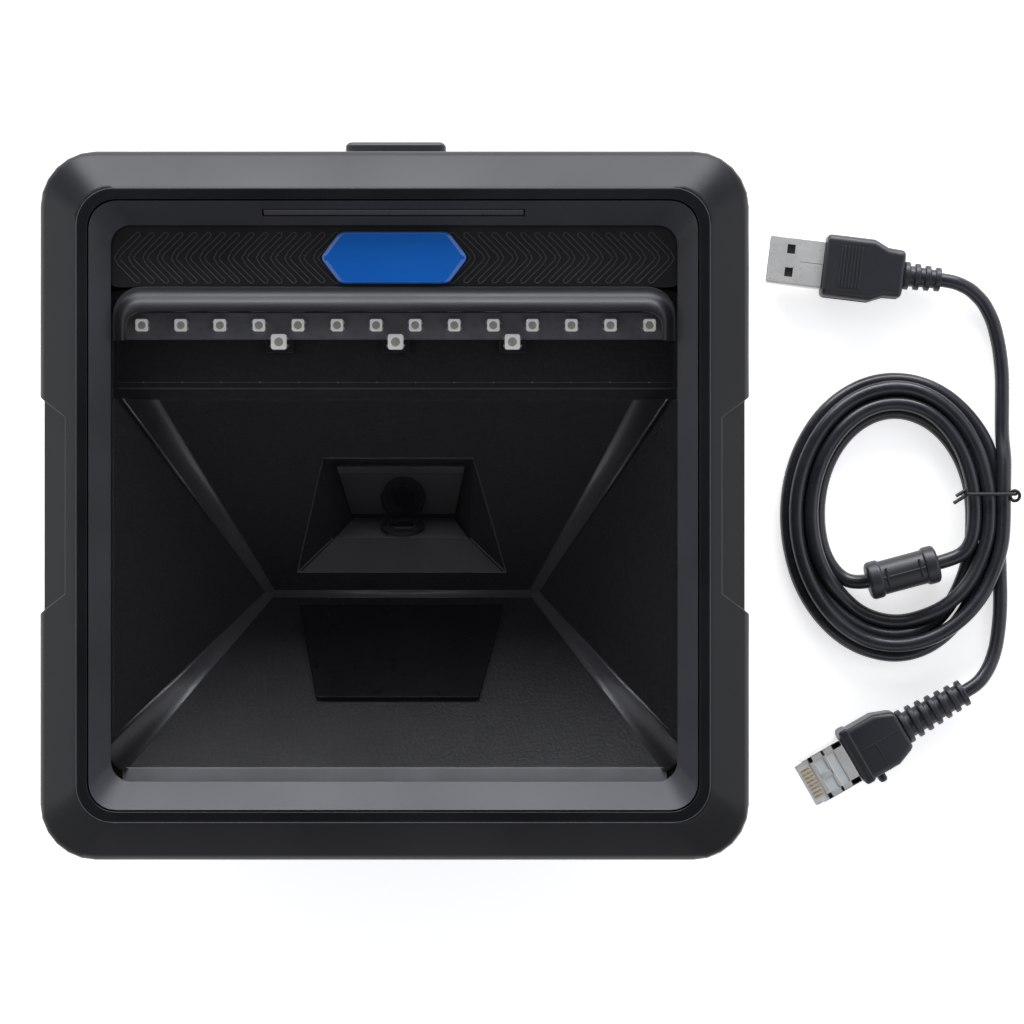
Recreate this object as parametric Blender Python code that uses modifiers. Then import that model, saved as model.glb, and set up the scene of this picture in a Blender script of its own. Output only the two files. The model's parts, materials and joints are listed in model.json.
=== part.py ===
"""Flatbed window barcode scanner with its detachable data cable.

The scanner lies on its back: +Z is the way the window looks, +Y is the side with
the button, and the table is z = 0. The cable lies unplugged and coiled on the
table at +X, with its modular plug and its USB plug both on show.
"""
import math

import bmesh
import bpy
from mathutils import Matrix, Vector

# ---------------------------------------------------------------- dimensions (metres)
MM = 0.001
GAP = 0.3 * MM                    # clearance between neighbours that touch

BODY_HALF = 80.0 * MM             # half the width and half the length of the front frame
BODY_HEIGHT = 85.0 * MM
BODY_CORNER = 12.5 * MM
FRAME_BOTTOM = 57.0 * MM          # where the front frame meets the rear housing
FRAME_WALL = 2.6 * MM
LAND_HALF = 68.3 * MM             # inner edge of the flat front land
LIP_HALF = 70.6 * MM              # outer edge of the flat front land

BEZEL_TOP = BODY_HEIGHT - GAP
BEZEL_BOTTOM = 79.1 * MM
BEZEL_SKIRT_BOTTOM = 73.0 * MM
OPENING_HALF_X = 63.7 * MM        # visible window opening
OPENING_HALF_Y = 62.5 * MM
OPENING_OFFSET_Y = 0.5 * MM
OPENING_CORNER = 4.4 * MM

GLASS_TOP = BEZEL_BOTTOM - 0.4 * MM
GLASS_THICKNESS = 2.0 * MM
PLATE_HALF_X = 66.4 * MM          # glass, trim panel, gasket and chamber flange share it
PLATE_CORNER = 4.8 * MM
PLATE_LOW_Y = -64.9 * MM
PLATE_HIGH_Y = 66.4 * MM
GLASS_HIGH_Y = 48.6 * MM
GASKET_THICKNESS = 0.6 * MM
GASKET_WIDTH = 1.6 * MM
TRIM_THICKNESS = 1.8 * MM

HOOD_HALF_X = 63.3 * MM
HOOD_LOW_Y = 43.5 * MM
HOOD_HIGH_Y = 49.2 * MM
HOOD_LEG_Y = 37.0 * MM
HOOD_LEG_WIDTH = 3.0 * MM
HOOD_CORNER = 6.4 * MM
HOOD_HEIGHT = 2.7 * MM

BADGE_HALF_LENGTH = 16.6 * MM
BADGE_FLAT_HALF = 12.2 * MM
BADGE_HALF_WIDTH = 5.85 * MM
BADGE_CENTRE_Y = 55.75 * MM
BADGE_THICKNESS = 1.0 * MM

LIGHT_BAR_LENGTH = 58.3 * MM
LIGHT_BAR_WIDTH = 1.6 * MM
LIGHT_BAR_THICKNESS = 0.8 * MM
LIGHT_BAR_Y = 65.5 * MM

CHAMBER_WALL = 1.8 * MM
FLANGE_INSET = 0.8 * MM           # the chamber's square corners stay inside the round skirt
FLANGE_TOP = GLASS_TOP - GLASS_THICKNESS - GASKET_THICKNESS - 2 * GAP
CAVITY_LOW_Y = -59.1 * MM
CAVITY_HIGH_Y = 47.0 * MM
LEDGE_TOP = 68.0 * MM
LEDGE_Y = 24.2 * MM
DEEP_Y = -21.0 * MM               # the deepest line of the cavity
DEEP_Z = 30.0 * MM
DEEP_HALF_X = 31.4 * MM
PORT_LOW_Y = -15.9 * MM           # opening in the rear wall, seen by the camera
PORT_HIGH_Y = 11.1 * MM
PORT_LOW_HALF_X = 25.1 * MM
PORT_HIGH_HALF_X = 17.45 * MM
SHELF_Y = -7.7 * MM
SHELF_Z = 34.1 * MM
SHELF_HALF_X = 16.5 * MM
VEE_Y = -3.0 * MM                 # where the lens wall meets the fold mirror's wall
VEE_Z = 22.0 * MM
VEE_HALF_X = 12.7 * MM
MIRROR_TOP_Y = 10.9 * MM
MIRROR_TOP_Z = 40.0 * MM
MIRROR_TOP_HALF_X = 16.2 * MM
MIRROR_THICKNESS = 1.0 * MM

LOWER_MIRROR_DEEP_Y = -24.5 * MM
LOWER_MIRROR_FRONT_Y = -45.3 * MM
LOWER_MIRROR_DEEP_HALF = 24.6 * MM
LOWER_MIRROR_FRONT_HALF = 18.8 * MM

LENS_FLANGE_RADIUS = 5.4 * MM
LENS_NECK_RADIUS = 4.0 * MM
LENS_NECK_LENGTH = 6.9 * MM
LENS_GLASS_RADIUS = 2.7 * MM
LENS_DOWN_WALL = 6.0 * MM         # lens centre, measured down the lens wall

LED_BOARD_HALF_X = 62.9 * MM
LED_BOARD_LOW_Y = 37.9 * MM
LED_BOARD_HIGH_Y = 44.0 * MM
BOARD_THICKNESS = 1.6 * MM
LED_COUNT = 14
LED_PITCH = 8.9 * MM
LED_SIZE = 2.8 * MM
LED_Y = 41.1 * MM
AIM_LED_COUNT = 3
AIM_LED_PITCH = 26.6 * MM
AIM_LED_SIZE = 3.5 * MM
AIM_LED_Y = 37.3 * MM
AIM_TAB_HALF = 3.0 * MM
AIM_TAB_LOW_Y = 34.9 * MM

HOUSING_TOP_HALF = 78.4 * MM
HOUSING_BOTTOM_HALF = 64.0 * MM
HOUSING_BOTTOM = 2.3 * MM
HOUSING_LIP_TOP = 60.5 * MM
BASE_HALF = 61.7 * MM
BASE_LOW = 2.0 * MM
BASE_HIGH = 4.0 * MM
FOOT_RADIUS = 7.0 * MM
FOOT_PLACE = 42.0 * MM
SCREW_PLACE = 56.0 * MM
BOSS_RADIUS = 5.2 * MM
BOSS_TOP = 15.0 * MM
SCREW_HEAD_RADIUS = 2.7 * MM
SCREW_SHANK_RADIUS = 1.4 * MM

MAIN_BOARD_LOW = 9.0 * MM
STANDOFF_RADIUS = 2.4 * MM
STANDOFF_PLACE = 46.0 * MM

JACK_HALF_X = 8.0 * MM
JACK_MOUTH_Y = -63.0 * MM
JACK_LENGTH = 18.0 * MM
JACK_HEIGHT = 13.5 * MM
SOCKET_HALF_X = 6.0 * MM
SOCKET_LOW = 2.2 * MM             # above the jack's underside
SOCKET_HEIGHT = 7.0 * MM
SOCKET_DEPTH = 14.0 * MM
SOCKET_KEY_HALF_X = 3.1 * MM
SOCKET_KEY_HEIGHT = 2.2 * MM

BUTTON_PROUD = 2.8 * MM
BUTTON_HALF_X = 11.4 * MM
BUTTON_HALF_Z = 4.0 * MM
BUTTON_Z = 67.6 * MM
BUTTON_BACK_Y = 75.2 * MM
BUTTON_CORNER = 1.8 * MM
BUTTON_FLANGE = 1.4 * MM
BUTTON_CLEARANCE = 0.4 * MM
SWITCH_TIP_GAP = 0.3 * MM

GRIP_DEPTH = 1.0 * MM             # finger grips in the two sides of the front frame
GRIP_HALF_LENGTH = 19.8 * MM
GRIP_INNER_X = 73.5 * MM
GRIP_FLARE = 0.71

CORD_DIAMETER = 3.6 * MM
COIL_X = 122.8 * MM
COIL_Y = -2.0 * MM
COIL_OUTER = (29.0 * MM, 36.0 * MM)
COIL_BAND = 11.0 * MM             # width of the bundle of turns, seen from above
COIL_HEIGHT = 7.4 * MM
COIL_EDGE = 1.4 * MM
TIE_Y = 3.0 * MM
TIE_RADIUS = 0.45 * MM
FERRITE_PLACE = (124.3 * MM, -16.6 * MM)
FERRITE_ANGLE = 15.0
FERRITE_LENGTH = 18.0 * MM
FERRITE_RADIUS = 4.8 * MM

RJ_TIP = (99.5 * MM, -69.75 * MM)  # tip of the modular plug, and the way its cable leaves
RJ_ANGLE = 30.0
RJ_PLUG_LENGTH = 13.0 * MM
RJ_BOOT_LENGTH = 15.0 * MM
RJ_RELIEF_LENGTH = 17.9 * MM
RJ_AXIS_Z = 5.0 * MM
LATCH_HINGE = (0.8 * MM, 2.7 * MM)  # along the plug, and above the table
LATCH_LENGTH = 11.4 * MM
LATCH_DROP = 8.0

USB_TIP = (90.8 * MM, 62.0 * MM)
USB_ANGLE = -7.0
USB_SHELL_LENGTH = 13.5 * MM
USB_MOLD_LENGTH = 20.0 * MM
USB_RELIEF_LENGTH = 9.2 * MM
USB_AXIS_Z = 4.3 * MM

# Routes of the two free stretches of the cord, chosen by hand (metres)
USB_TAIL = [
    (0.13430, 0.05666, 0.00430), (0.13720, 0.05625, 0.00425), (0.14110, 0.05470, 0.00360),
    (0.14480, 0.05140, 0.00265), (0.14740, 0.04660, 0.00200), (0.14900, 0.04050, 0.00185),
    (0.14980, 0.03350, 0.00185), (0.14990, 0.02600, 0.00185), (0.14950, 0.01880, 0.00185),
]
RJ_TAIL = [
    (0.14045, -0.04610, 0.00500), (0.14280, -0.04474, 0.00490), (0.14530, -0.04200, 0.00400),
    (0.14730, -0.03800, 0.00290), (0.14860, -0.03320, 0.00210), (0.14920, -0.02800, 0.00185),
    (0.14935, -0.02250, 0.00185),
]

CORNER_STEPS = 6
ROUND_STEPS = 32

MATERIALS = {
    "housing_black": ((0.020, 0.021, 0.023), 0.45, 0.0),
    "bezel_black": ((0.016, 0.017, 0.019), 0.40, 0.0),
    "panel_black": ((0.010, 0.010, 0.011), 0.50, 0.0),
    "chamber_black": ((0.012, 0.012, 0.013), 0.60, 0.0),
    "window_glass": ((0.30, 0.31, 0.33), 0.03, 0.0),
    "mirror_dark": ((0.10, 0.11, 0.13), 0.05, 0.9),
    "badge_blue": ((0.008, 0.090, 0.400), 0.15, 0.0),
    "light_bar": ((0.060, 0.062, 0.066), 0.30, 0.0),
    "rubber_black": ((0.018, 0.018, 0.019), 0.80, 0.0),
    "steel": ((0.55, 0.56, 0.58), 0.30, 1.0),
    "jack_shield": ((0.60, 0.60, 0.58), 0.35, 1.0),
    "circuit_board": ((0.015, 0.060, 0.030), 0.45, 0.0),
    "led_board": ((0.040, 0.042, 0.046), 0.40, 0.0),
    "led_body": ((0.75, 0.75, 0.74), 0.35, 0.0),
    "lens_black": ((0.010, 0.010, 0.012), 0.30, 0.0),
    "lens_glass": ((0.060, 0.050, 0.100), 0.02, 0.0),
    "connector_black": ((0.018, 0.018, 0.020), 0.45, 0.0),
    "cord_black": ((0.022, 0.023, 0.026), 0.42, 0.0),
    "plug_metal": ((0.62, 0.60, 0.56), 0.28, 1.0),
    "plug_clear": ((0.80, 0.82, 0.82), 0.12, 0.0),
    "insulator_white": ((0.70, 0.71, 0.70), 0.40, 0.0),
}


# ---------------------------------------------------------------- helpers
def clear_scene():
    for thing in list(bpy.data.objects):
        bpy.data.objects.remove(thing, do_unlink=True)


def new_collection(name):
    collection = bpy.data.collections.new(name)
    bpy.context.scene.collection.children.link(collection)
    return collection


def make_material(name):
    colour, roughness, metallic = MATERIALS[name]
    material = bpy.data.materials.get(name)
    if material:
        return material
    material = bpy.data.materials.new(name)
    material.use_nodes = True
    shader = material.node_tree.nodes["Principled BSDF"]
    shader.inputs["Base Color"].default_value = (*colour, 1.0)
    shader.inputs["Roughness"].default_value = roughness
    shader.inputs["Metallic"].default_value = metallic
    return material


def add_part(name, data, material, location=(0, 0, 0), rotation=(0, 0, 0)):
    """One sub-part: an object in the parts collection, placed under the origin empty."""
    part = bpy.data.objects.new(name, data)
    PARTS.objects.link(part)
    if not data.materials:
        data.materials.append(make_material(material))
    part.parent = ORIGIN
    part.location = location
    part.rotation_euler = rotation
    return part


def add_cutter(name, data, location=(0, 0, 0), rotation=(0, 0, 0)):
    cutter = bpy.data.objects.new(name, data)
    CUTTERS.objects.link(cutter)
    cutter.parent = ORIGIN
    cutter.location = location
    cutter.rotation_euler = rotation
    cutter.hide_render = True
    cutter.display_type = "WIRE"
    return cutter


def cut(part, cutter, operation="DIFFERENCE"):
    modifier = part.modifiers.new(operation.lower() + "_" + cutter.name, "BOOLEAN")
    modifier.operation = operation
    modifier.solver = "EXACT"
    modifier.object = cutter


def soften(part, width, segments=2):
    modifier = part.modifiers.new("soft_edges", "BEVEL")
    modifier.width = width
    modifier.segments = segments
    modifier.limit_method = "ANGLE"
    modifier.angle_limit = math.radians(35)


def smooth(mesh, angle=35.0):
    mesh.shade_smooth()
    mesh.set_sharp_from_angle(angle=math.radians(angle))


def mesh_from(name, bm):
    bmesh.ops.recalc_face_normals(bm, faces=bm.faces)
    mesh = bpy.data.meshes.new(name)
    bm.to_mesh(mesh)
    bm.free()
    return mesh


def box_mesh(name, size):
    bm = bmesh.new()
    bmesh.ops.create_cube(bm, size=1.0, matrix=Matrix.Diagonal((*size, 1.0)))
    return mesh_from(name, bm)


def box_between(low, high):
    """Size and centre of the box from one corner to the opposite one."""
    size = [high[i] - low[i] for i in range(3)]
    centre = [(high[i] + low[i]) / 2 for i in range(3)]
    return size, centre


def box_part(name, low, high, material, soft=0.0):
    size, centre = box_between(low, high)
    part = add_part(name, box_mesh(name, size), material, centre)
    if soft:
        soften(part, soft)
    return part


def box_cutter(name, low, high):
    size, centre = box_between(low, high)
    return add_cutter(name, box_mesh(name, size), centre)


def cylinder_mesh(name, radius, depth, steps=ROUND_STEPS):
    bm = bmesh.new()
    bmesh.ops.create_cone(bm, cap_ends=True, segments=steps, radius1=radius,
                          radius2=radius, depth=depth)
    mesh = mesh_from(name, bm)
    smooth(mesh)
    return mesh


def turned_part(name, profile, material, location, rotation=(0, 0, 0), steps=ROUND_STEPS):
    """A turned piece: (radius, height) pairs from the top of the axis down to its foot."""
    bm = bmesh.new()
    corners = [bm.verts.new((radius, 0, height)) for radius, height in profile]
    for start, end in zip(corners, corners[1:]):
        bm.edges.new((start, end))
    mesh = bpy.data.meshes.new(name)
    bm.to_mesh(mesh)
    bm.free()
    part = add_part(name, mesh, material, location, rotation)
    screw = part.modifiers.new("turned", "SCREW")
    screw.steps = steps
    screw.render_steps = steps
    screw.use_merge_vertices = True
    screw.merge_threshold = 0.00001
    screw.use_smooth_shade = True
    return part


def loft_mesh(name, rings, closed=False):
    """Skin rings of equal point counts: capped at both ends, or closed on itself."""
    bm = bmesh.new()
    rows = [[bm.verts.new(point) for point in ring] for ring in rings]
    count = len(rows[0])
    pairs = list(zip(rows, rows[1:]))
    if closed:
        pairs.append((rows[-1], rows[0]))
    for lower, upper in pairs:
        for i in range(count):
            j = (i + 1) % count
            bm.faces.new((lower[i], lower[j], upper[j], upper[i]))
    if not closed:
        bm.faces.new(rows[0])
        bm.faces.new(rows[-1])
    mesh = mesh_from(name, bm)
    smooth(mesh, 25.0)
    return mesh


def rounded_rectangle(half_x, half_y, radius, z, centre_y=0.0, steps=CORNER_STEPS):
    points = []
    for quarter in range(4):
        side_x = (1, -1, -1, 1)[quarter]
        side_y = (1, 1, -1, -1)[quarter]
        for step in range(steps + 1):
            angle = math.radians(90 * quarter + 90 * step / steps)
            x = side_x * (half_x - radius) + radius * math.cos(angle)
            y = side_y * (half_y - radius) + radius * math.sin(angle)
            points.append(Vector((x, y + centre_y, z)))
    return points


def plate_mesh(name, half_x, low_y, high_y, radius, low_z, high_z):
    half_y = (high_y - low_y) / 2
    centre_y = (high_y + low_y) / 2
    rings = [rounded_rectangle(half_x, half_y, radius, z, centre_y) for z in (low_z, high_z)]
    return loft_mesh(name, rings)


def round_corners(corners, radius, steps=3):
    """A flat outline with each corner swapped for an arc-like curve of the given reach."""
    points = []
    for i, corner in enumerate(corners):
        here = Vector(corner)
        before = (Vector(corners[i - 1]) - here).normalized() * radius
        after = (Vector(corners[(i + 1) % len(corners)]) - here).normalized() * radius
        for step in range(steps + 1):
            t = step / steps
            points.append(here + before * (1 - t) ** 2 + after * t ** 2)
    return points


def smooth_route(points, spacing):
    """Evenly spaced points on a smooth curve through the route's own points."""
    knots = [Vector(point) for point in points]
    knots = [knots[0] * 2 - knots[1]] + knots + [knots[-1] * 2 - knots[-2]]
    fine = []
    for i in range(1, len(knots) - 2):
        a, b, c, d = knots[i - 1], knots[i], knots[i + 1], knots[i + 2]
        for step in range(16):
            t = step / 16
            fine.append(0.5 * (2 * b + (c - a) * t + (2 * a - 5 * b + 4 * c - d) * t ** 2
                               + (3 * b - a - 3 * c + d) * t ** 3))
    fine.append(knots[-2])
    length = sum((q - p).length for p, q in zip(fine, fine[1:]))
    pieces = max(2, round(length / spacing))
    result = [fine[0]]
    walked = 0.0
    for p, q in zip(fine, fine[1:]):
        step = (q - p).length
        while len(result) < pieces and walked + step >= length / pieces * len(result):
            t = (length / pieces * len(result) - walked) / step
            result.append(p.lerp(q, t))
        walked += step
    result.append(fine[-1])
    return result


def tube_part(name, points, radius, material, cyclic=False):
    curve = bpy.data.curves.new(name, "CURVE")
    curve.dimensions = "3D"
    curve.bevel_depth = radius
    curve.bevel_resolution = 2
    curve.use_fill_caps = True
    spline = curve.splines.new("POLY")
    spline.points.add(len(points) - 1)
    for target, point in zip(spline.points, points):
        target.co = (*point, 1.0)
    spline.use_cyclic_u = cyclic
    return add_part(name, curve, material)


def cord_part(name, route):
    points = smooth_route(route, 2.4 * CORD_DIAMETER)
    return tube_part(name, points, CORD_DIAMETER / 2, "cord_black")


# ---------------------------------------------------------------- front frame and window
def front_frame_rings():
    """Once round the frame's wall: up the outside, over the lip, back down inside."""
    inner = BODY_HALF - FRAME_WALL
    profile = [
        (BODY_HALF, BODY_CORNER, FRAME_BOTTOM),
        (BODY_HALF, BODY_CORNER, 76.6 * MM),
        (79.6 * MM, 12.2 * MM, 78.0 * MM),
        (78.6 * MM, 11.6 * MM, 79.1 * MM),
        (71.7 * MM, 8.8 * MM, 84.4 * MM),
        (LIP_HALF, 8.2 * MM, BODY_HEIGHT),
        (LAND_HALF, 6.4 * MM, BODY_HEIGHT),
        (LAND_HALF, 6.4 * MM, 82.6 * MM),
        (71.2 * MM, 7.6 * MM, 82.6 * MM),
        (inner, 9.9 * MM, 77.6 * MM),
        (inner, 9.9 * MM, FRAME_BOTTOM),
    ]
    return [rounded_rectangle(half, half, radius, z) for half, radius, z in profile]


def grip_cutter(side):
    """Follows the frame's outside, one grip depth inside it, with flared ends."""
    outside = BODY_HALF + 5 * MM
    flat = BODY_HALF - GRIP_DEPTH
    section = [
        (flat, FRAME_BOTTOM - 3 * MM), (flat, 77.4 * MM), (GRIP_INNER_X, 81.9 * MM),
        (GRIP_INNER_X, BODY_HEIGHT + 2 * MM), (outside, BODY_HEIGHT + 2 * MM),
        (outside, FRAME_BOTTOM - 3 * MM),
    ]
    rings = []
    for end in (-1, 1):
        ring = []
        for x, z in section:
            reach = GRIP_HALF_LENGTH + (x - GRIP_INNER_X) * GRIP_FLARE
            ring.append(Vector((side * x, end * reach, z)))
        rings.append(ring)
    name = "cut_grip_left" if side < 0 else "cut_grip_right"
    return add_cutter(name, loft_mesh(name, rings))


def button_rings(half_x, half_z, corner, y):
    outline = rounded_rectangle(half_x, half_z, corner, 0.0, steps=4)
    return [Vector((point.x, y, point.y)) for point in outline]


def make_front_frame():
    mesh = loft_mesh("front_frame", front_frame_rings(), closed=True)
    frame = add_part("front_frame", mesh, "housing_black")
    for side in (-1, 1):
        cut(frame, grip_cutter(side))
    half_x = BUTTON_HALF_X + BUTTON_CLEARANCE
    half_z = BUTTON_HALF_Z + BUTTON_CLEARANCE
    rings = [button_rings(half_x, half_z, BUTTON_CORNER + BUTTON_CLEARANCE, y)
             for y in (BODY_HALF - 5 * MM, BODY_HALF + 2 * MM)]
    window = add_cutter("cut_button_hole", loft_mesh("cut_button_hole", rings),
                        (0, 0, BUTTON_Z))
    cut(frame, window)


def bezel_slope_angle():
    """Tilt of the bezel's sloping face on the +Y side."""
    rise = BEZEL_TOP - (BEZEL_BOTTOM + GAP)
    run = LAND_HALF - GAP - (OPENING_HALF_Y + OPENING_OFFSET_Y)
    return math.atan2(rise, run)


def make_window_bezel():
    outer = LAND_HALF - GAP
    skirt = outer - 1.0 * MM
    profile = [
        (outer, outer, 6.1 * MM, BEZEL_TOP, 0.0),
        (OPENING_HALF_X, OPENING_HALF_Y, OPENING_CORNER, BEZEL_BOTTOM + GAP, OPENING_OFFSET_Y),
        (OPENING_HALF_X, OPENING_HALF_Y, OPENING_CORNER, BEZEL_BOTTOM, OPENING_OFFSET_Y),
        (skirt, skirt, 5.2 * MM, BEZEL_BOTTOM, 0.0),
        (skirt, skirt, 5.2 * MM, BEZEL_SKIRT_BOTTOM, 0.0),
        (outer, outer, 6.1 * MM, BEZEL_SKIRT_BOTTOM, 0.0),
    ]
    rings = [rounded_rectangle(*entry) for entry in profile]
    bezel = add_part("window_bezel", loft_mesh("window_bezel", rings, closed=True),
                     "bezel_black")
    tilt = bezel_slope_angle()
    surface_z = BEZEL_TOP - (LAND_HALF - GAP - LIGHT_BAR_Y) * math.tan(tilt)
    surface = Vector((0, LIGHT_BAR_Y, surface_z))
    normal = Vector((0, -math.sin(tilt), math.cos(tilt)))
    bar_centre = surface - normal * (LIGHT_BAR_THICKNESS / 2 + 0.1 * MM)
    groove_height = 3.0 * MM
    groove_low = LIGHT_BAR_THICKNESS / 2 + GAP
    groove = add_cutter(
        "cut_light_bar_groove",
        box_mesh("cut_light_bar_groove", (LIGHT_BAR_LENGTH + 2 * GAP,
                                          LIGHT_BAR_WIDTH + 2 * GAP, groove_height)),
        bar_centre + normal * (groove_height / 2 - groove_low), (tilt, 0, 0))
    cut(bezel, groove)
    bar_size = (LIGHT_BAR_LENGTH, LIGHT_BAR_WIDTH, LIGHT_BAR_THICKNESS)
    add_part("status_light_bar", box_mesh("status_light_bar", bar_size), "light_bar",
             bar_centre, (tilt, 0, 0))


def make_window_plates():
    glass_low = GLASS_TOP - GLASS_THICKNESS
    glass = plate_mesh("window_glass", PLATE_HALF_X, PLATE_LOW_Y, GLASS_HIGH_Y, PLATE_CORNER,
                       glass_low, GLASS_TOP)
    add_part("window_glass", glass, "window_glass")
    panel = plate_mesh("trim_panel", PLATE_HALF_X, GLASS_HIGH_Y + 0.5 * MM, PLATE_HIGH_Y,
                       PLATE_CORNER, GLASS_TOP - TRIM_THICKNESS, GLASS_TOP)
    add_part("trim_panel", panel, "panel_black")

    high = glass_low - GAP
    low = high - GASKET_THICKNESS
    half_y = (GLASS_HIGH_Y - PLATE_LOW_Y) / 2
    centre_y = (GLASS_HIGH_Y + PLATE_LOW_Y) / 2
    rings = []
    for inset, z in ((0, low), (0, high), (GASKET_WIDTH, high), (GASKET_WIDTH, low)):
        rings.append(rounded_rectangle(PLATE_HALF_X - inset, half_y - inset,
                                       PLATE_CORNER - inset, z, centre_y))
    add_part("window_gasket", loft_mesh("window_gasket", rings, closed=True), "rubber_black")


def make_led_hood():
    """A brow that swells up from the panel over the lights; its ends turn down into legs."""
    inner_x = HOOD_HALF_X - HOOD_LEG_WIDTH
    inner_corner = HOOD_CORNER - HOOD_LEG_WIDTH
    pairs = [((-HOOD_HALF_X, HOOD_LEG_Y), (-inner_x, HOOD_LEG_Y))]
    for side, start in ((-1, 180), (1, 90)):
        for step in range(CORNER_STEPS + 1):
            angle = math.radians(start - 90 * step / CORNER_STEPS)
            outer = (side * (HOOD_HALF_X - HOOD_CORNER) + HOOD_CORNER * math.cos(angle),
                     HOOD_HIGH_Y - HOOD_CORNER + HOOD_CORNER * math.sin(angle))
            inner = (side * (inner_x - inner_corner) + inner_corner * math.cos(angle),
                     HOOD_LOW_Y - inner_corner + inner_corner * math.sin(angle))
            pairs.append((outer, inner))
    pairs.append(((HOOD_HALF_X, HOOD_LEG_Y), (inner_x, HOOD_LEG_Y)))
    section = [(0.0, 0.0), (0.0, 0.14), (0.16, 0.18), (0.30, 0.30), (0.42, 0.48),
               (0.54, 0.70), (0.66, 0.86), (0.80, 0.96), (0.94, 1.0), (1.0, 0.88), (1.0, 0.0)]
    low = GLASS_TOP + GAP
    rings = []
    for outer, inner in pairs:
        outer = Vector((*outer, low))
        inner = Vector((*inner, low))
        rings.append([outer.lerp(inner, t) + Vector((0, 0, HOOD_HEIGHT * rise))
                      for t, rise in section])
    add_part("led_hood", loft_mesh("led_hood", rings), "bezel_black")


def make_badge():
    low = GLASS_TOP + GAP
    outline = [
        (BADGE_HALF_LENGTH, 0), (BADGE_FLAT_HALF, BADGE_HALF_WIDTH),
        (-BADGE_FLAT_HALF, BADGE_HALF_WIDTH), (-BADGE_HALF_LENGTH, 0),
        (-BADGE_FLAT_HALF, -BADGE_HALF_WIDTH), (BADGE_FLAT_HALF, -BADGE_HALF_WIDTH),
    ]
    base = round_corners(outline, 1.2 * MM)
    rings = []
    for scale, z in ((1.0, 0.0), (1.0, 0.55 * MM), (0.94, BADGE_THICKNESS)):
        rings.append([Vector((point.x * scale, point.y * scale, z)) for point in base])
    add_part("badge", loft_mesh("badge", rings), "badge_blue", (0, BADGE_CENTRE_Y, low))


# ---------------------------------------------------------------- optics
def cavity_half_x(z):
    """Half-width of the cavity between its two sloping side walls."""
    slope = (OPENING_HALF_X - DEEP_HALF_X) / (FLANGE_TOP - DEEP_Z)
    return DEEP_HALF_X + slope * (z - DEEP_Z)


def rear_wall_z(y):
    slope = (LEDGE_TOP - DEEP_Z) / (LEDGE_Y - DEEP_Y)
    return DEEP_Z + slope * (y - DEEP_Y)


def chamber_corners():
    """The chamber's corners on the +X side; the -X side mirrors them."""
    return {
        "outer_low": (PLATE_HALF_X - FLANGE_INSET, PLATE_LOW_Y + FLANGE_INSET, FLANGE_TOP),
        "outer_high": (PLATE_HALF_X - FLANGE_INSET, GLASS_HIGH_Y, FLANGE_TOP),
        "rim_low": (OPENING_HALF_X, CAVITY_LOW_Y, FLANGE_TOP),
        "rim_mid": (OPENING_HALF_X, LEDGE_Y, FLANGE_TOP),
        "rim_high": (OPENING_HALF_X, CAVITY_HIGH_Y, FLANGE_TOP),
        "deep": (DEEP_HALF_X, DEEP_Y, DEEP_Z),
        "ledge_in": (cavity_half_x(LEDGE_TOP), LEDGE_Y, LEDGE_TOP),
        "ledge_out": (OPENING_HALF_X, LEDGE_Y, LEDGE_TOP),
        "ledge_back": (OPENING_HALF_X, CAVITY_HIGH_Y, LEDGE_TOP),
        "port_low": (PORT_LOW_HALF_X, PORT_LOW_Y, rear_wall_z(PORT_LOW_Y)),
        "port_high": (PORT_HIGH_HALF_X, PORT_HIGH_Y, rear_wall_z(PORT_HIGH_Y)),
        "shelf": (SHELF_HALF_X, SHELF_Y, SHELF_Z),
        "vee": (VEE_HALF_X, VEE_Y, VEE_Z),
        "mirror_top": (MIRROR_TOP_HALF_X, MIRROR_TOP_Y, MIRROR_TOP_Z),
    }


def make_optics_chamber():
    """An open moulded skin seen through the window, thickened away from the view."""
    bm = bmesh.new()
    right = {}
    left = {}
    for name, (x, y, z) in chamber_corners().items():
        right[name] = bm.verts.new((x, y, z))
        left[name] = bm.verts.new((-x, y, z))

    def across(first, second):
        """A face that spans both sides between two edges parallel to X."""
        bm.faces.new((left[first], right[first], right[second], left[second]))

    def both(*names):
        bm.faces.new([right[name] for name in names])
        bm.faces.new([left[name] for name in reversed(names)])

    across("outer_low", "rim_low")
    across("rim_low", "deep")
    across("deep", "port_low")
    across("port_low", "shelf")
    across("shelf", "vee")
    across("vee", "mirror_top")
    across("mirror_top", "port_high")
    across("port_high", "ledge_in")
    across("ledge_back", "rim_high")
    across("rim_high", "outer_high")
    ledge = ("ledge_in", "ledge_out", "ledge_back")
    bm.faces.new([right[name] for name in ledge] + [left[name] for name in reversed(ledge)])
    both("outer_low", "outer_high", "rim_high", "rim_mid", "rim_low")
    both("rim_low", "rim_mid", "ledge_in", "deep")
    both("ledge_in", "rim_mid", "ledge_out")
    both("rim_mid", "rim_high", "ledge_back", "ledge_out")
    both("deep", "ledge_in", "port_high", "port_low")
    both("shelf", "vee", "mirror_top")
    both("shelf", "mirror_top", "port_high")
    both("shelf", "port_high", "port_low")
    mesh = mesh_from("optics_chamber", bm)
    upward = sum(face.normal.z * face.area for face in mesh.polygons)
    if upward < 0:
        mesh.flip_normals()
    chamber = add_part("optics_chamber", mesh, "chamber_black")
    skin = chamber.modifiers.new("wall", "SOLIDIFY")
    skin.thickness = CHAMBER_WALL
    skin.offset = -1.0
    place, rotation = lens_frame(0.0)
    hole = add_cutter("cut_lens_hole",
                      cylinder_mesh("cut_lens_hole", LENS_NECK_RADIUS + GAP, 8 * MM),
                      place, rotation)
    cut(chamber, hole)


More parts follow.
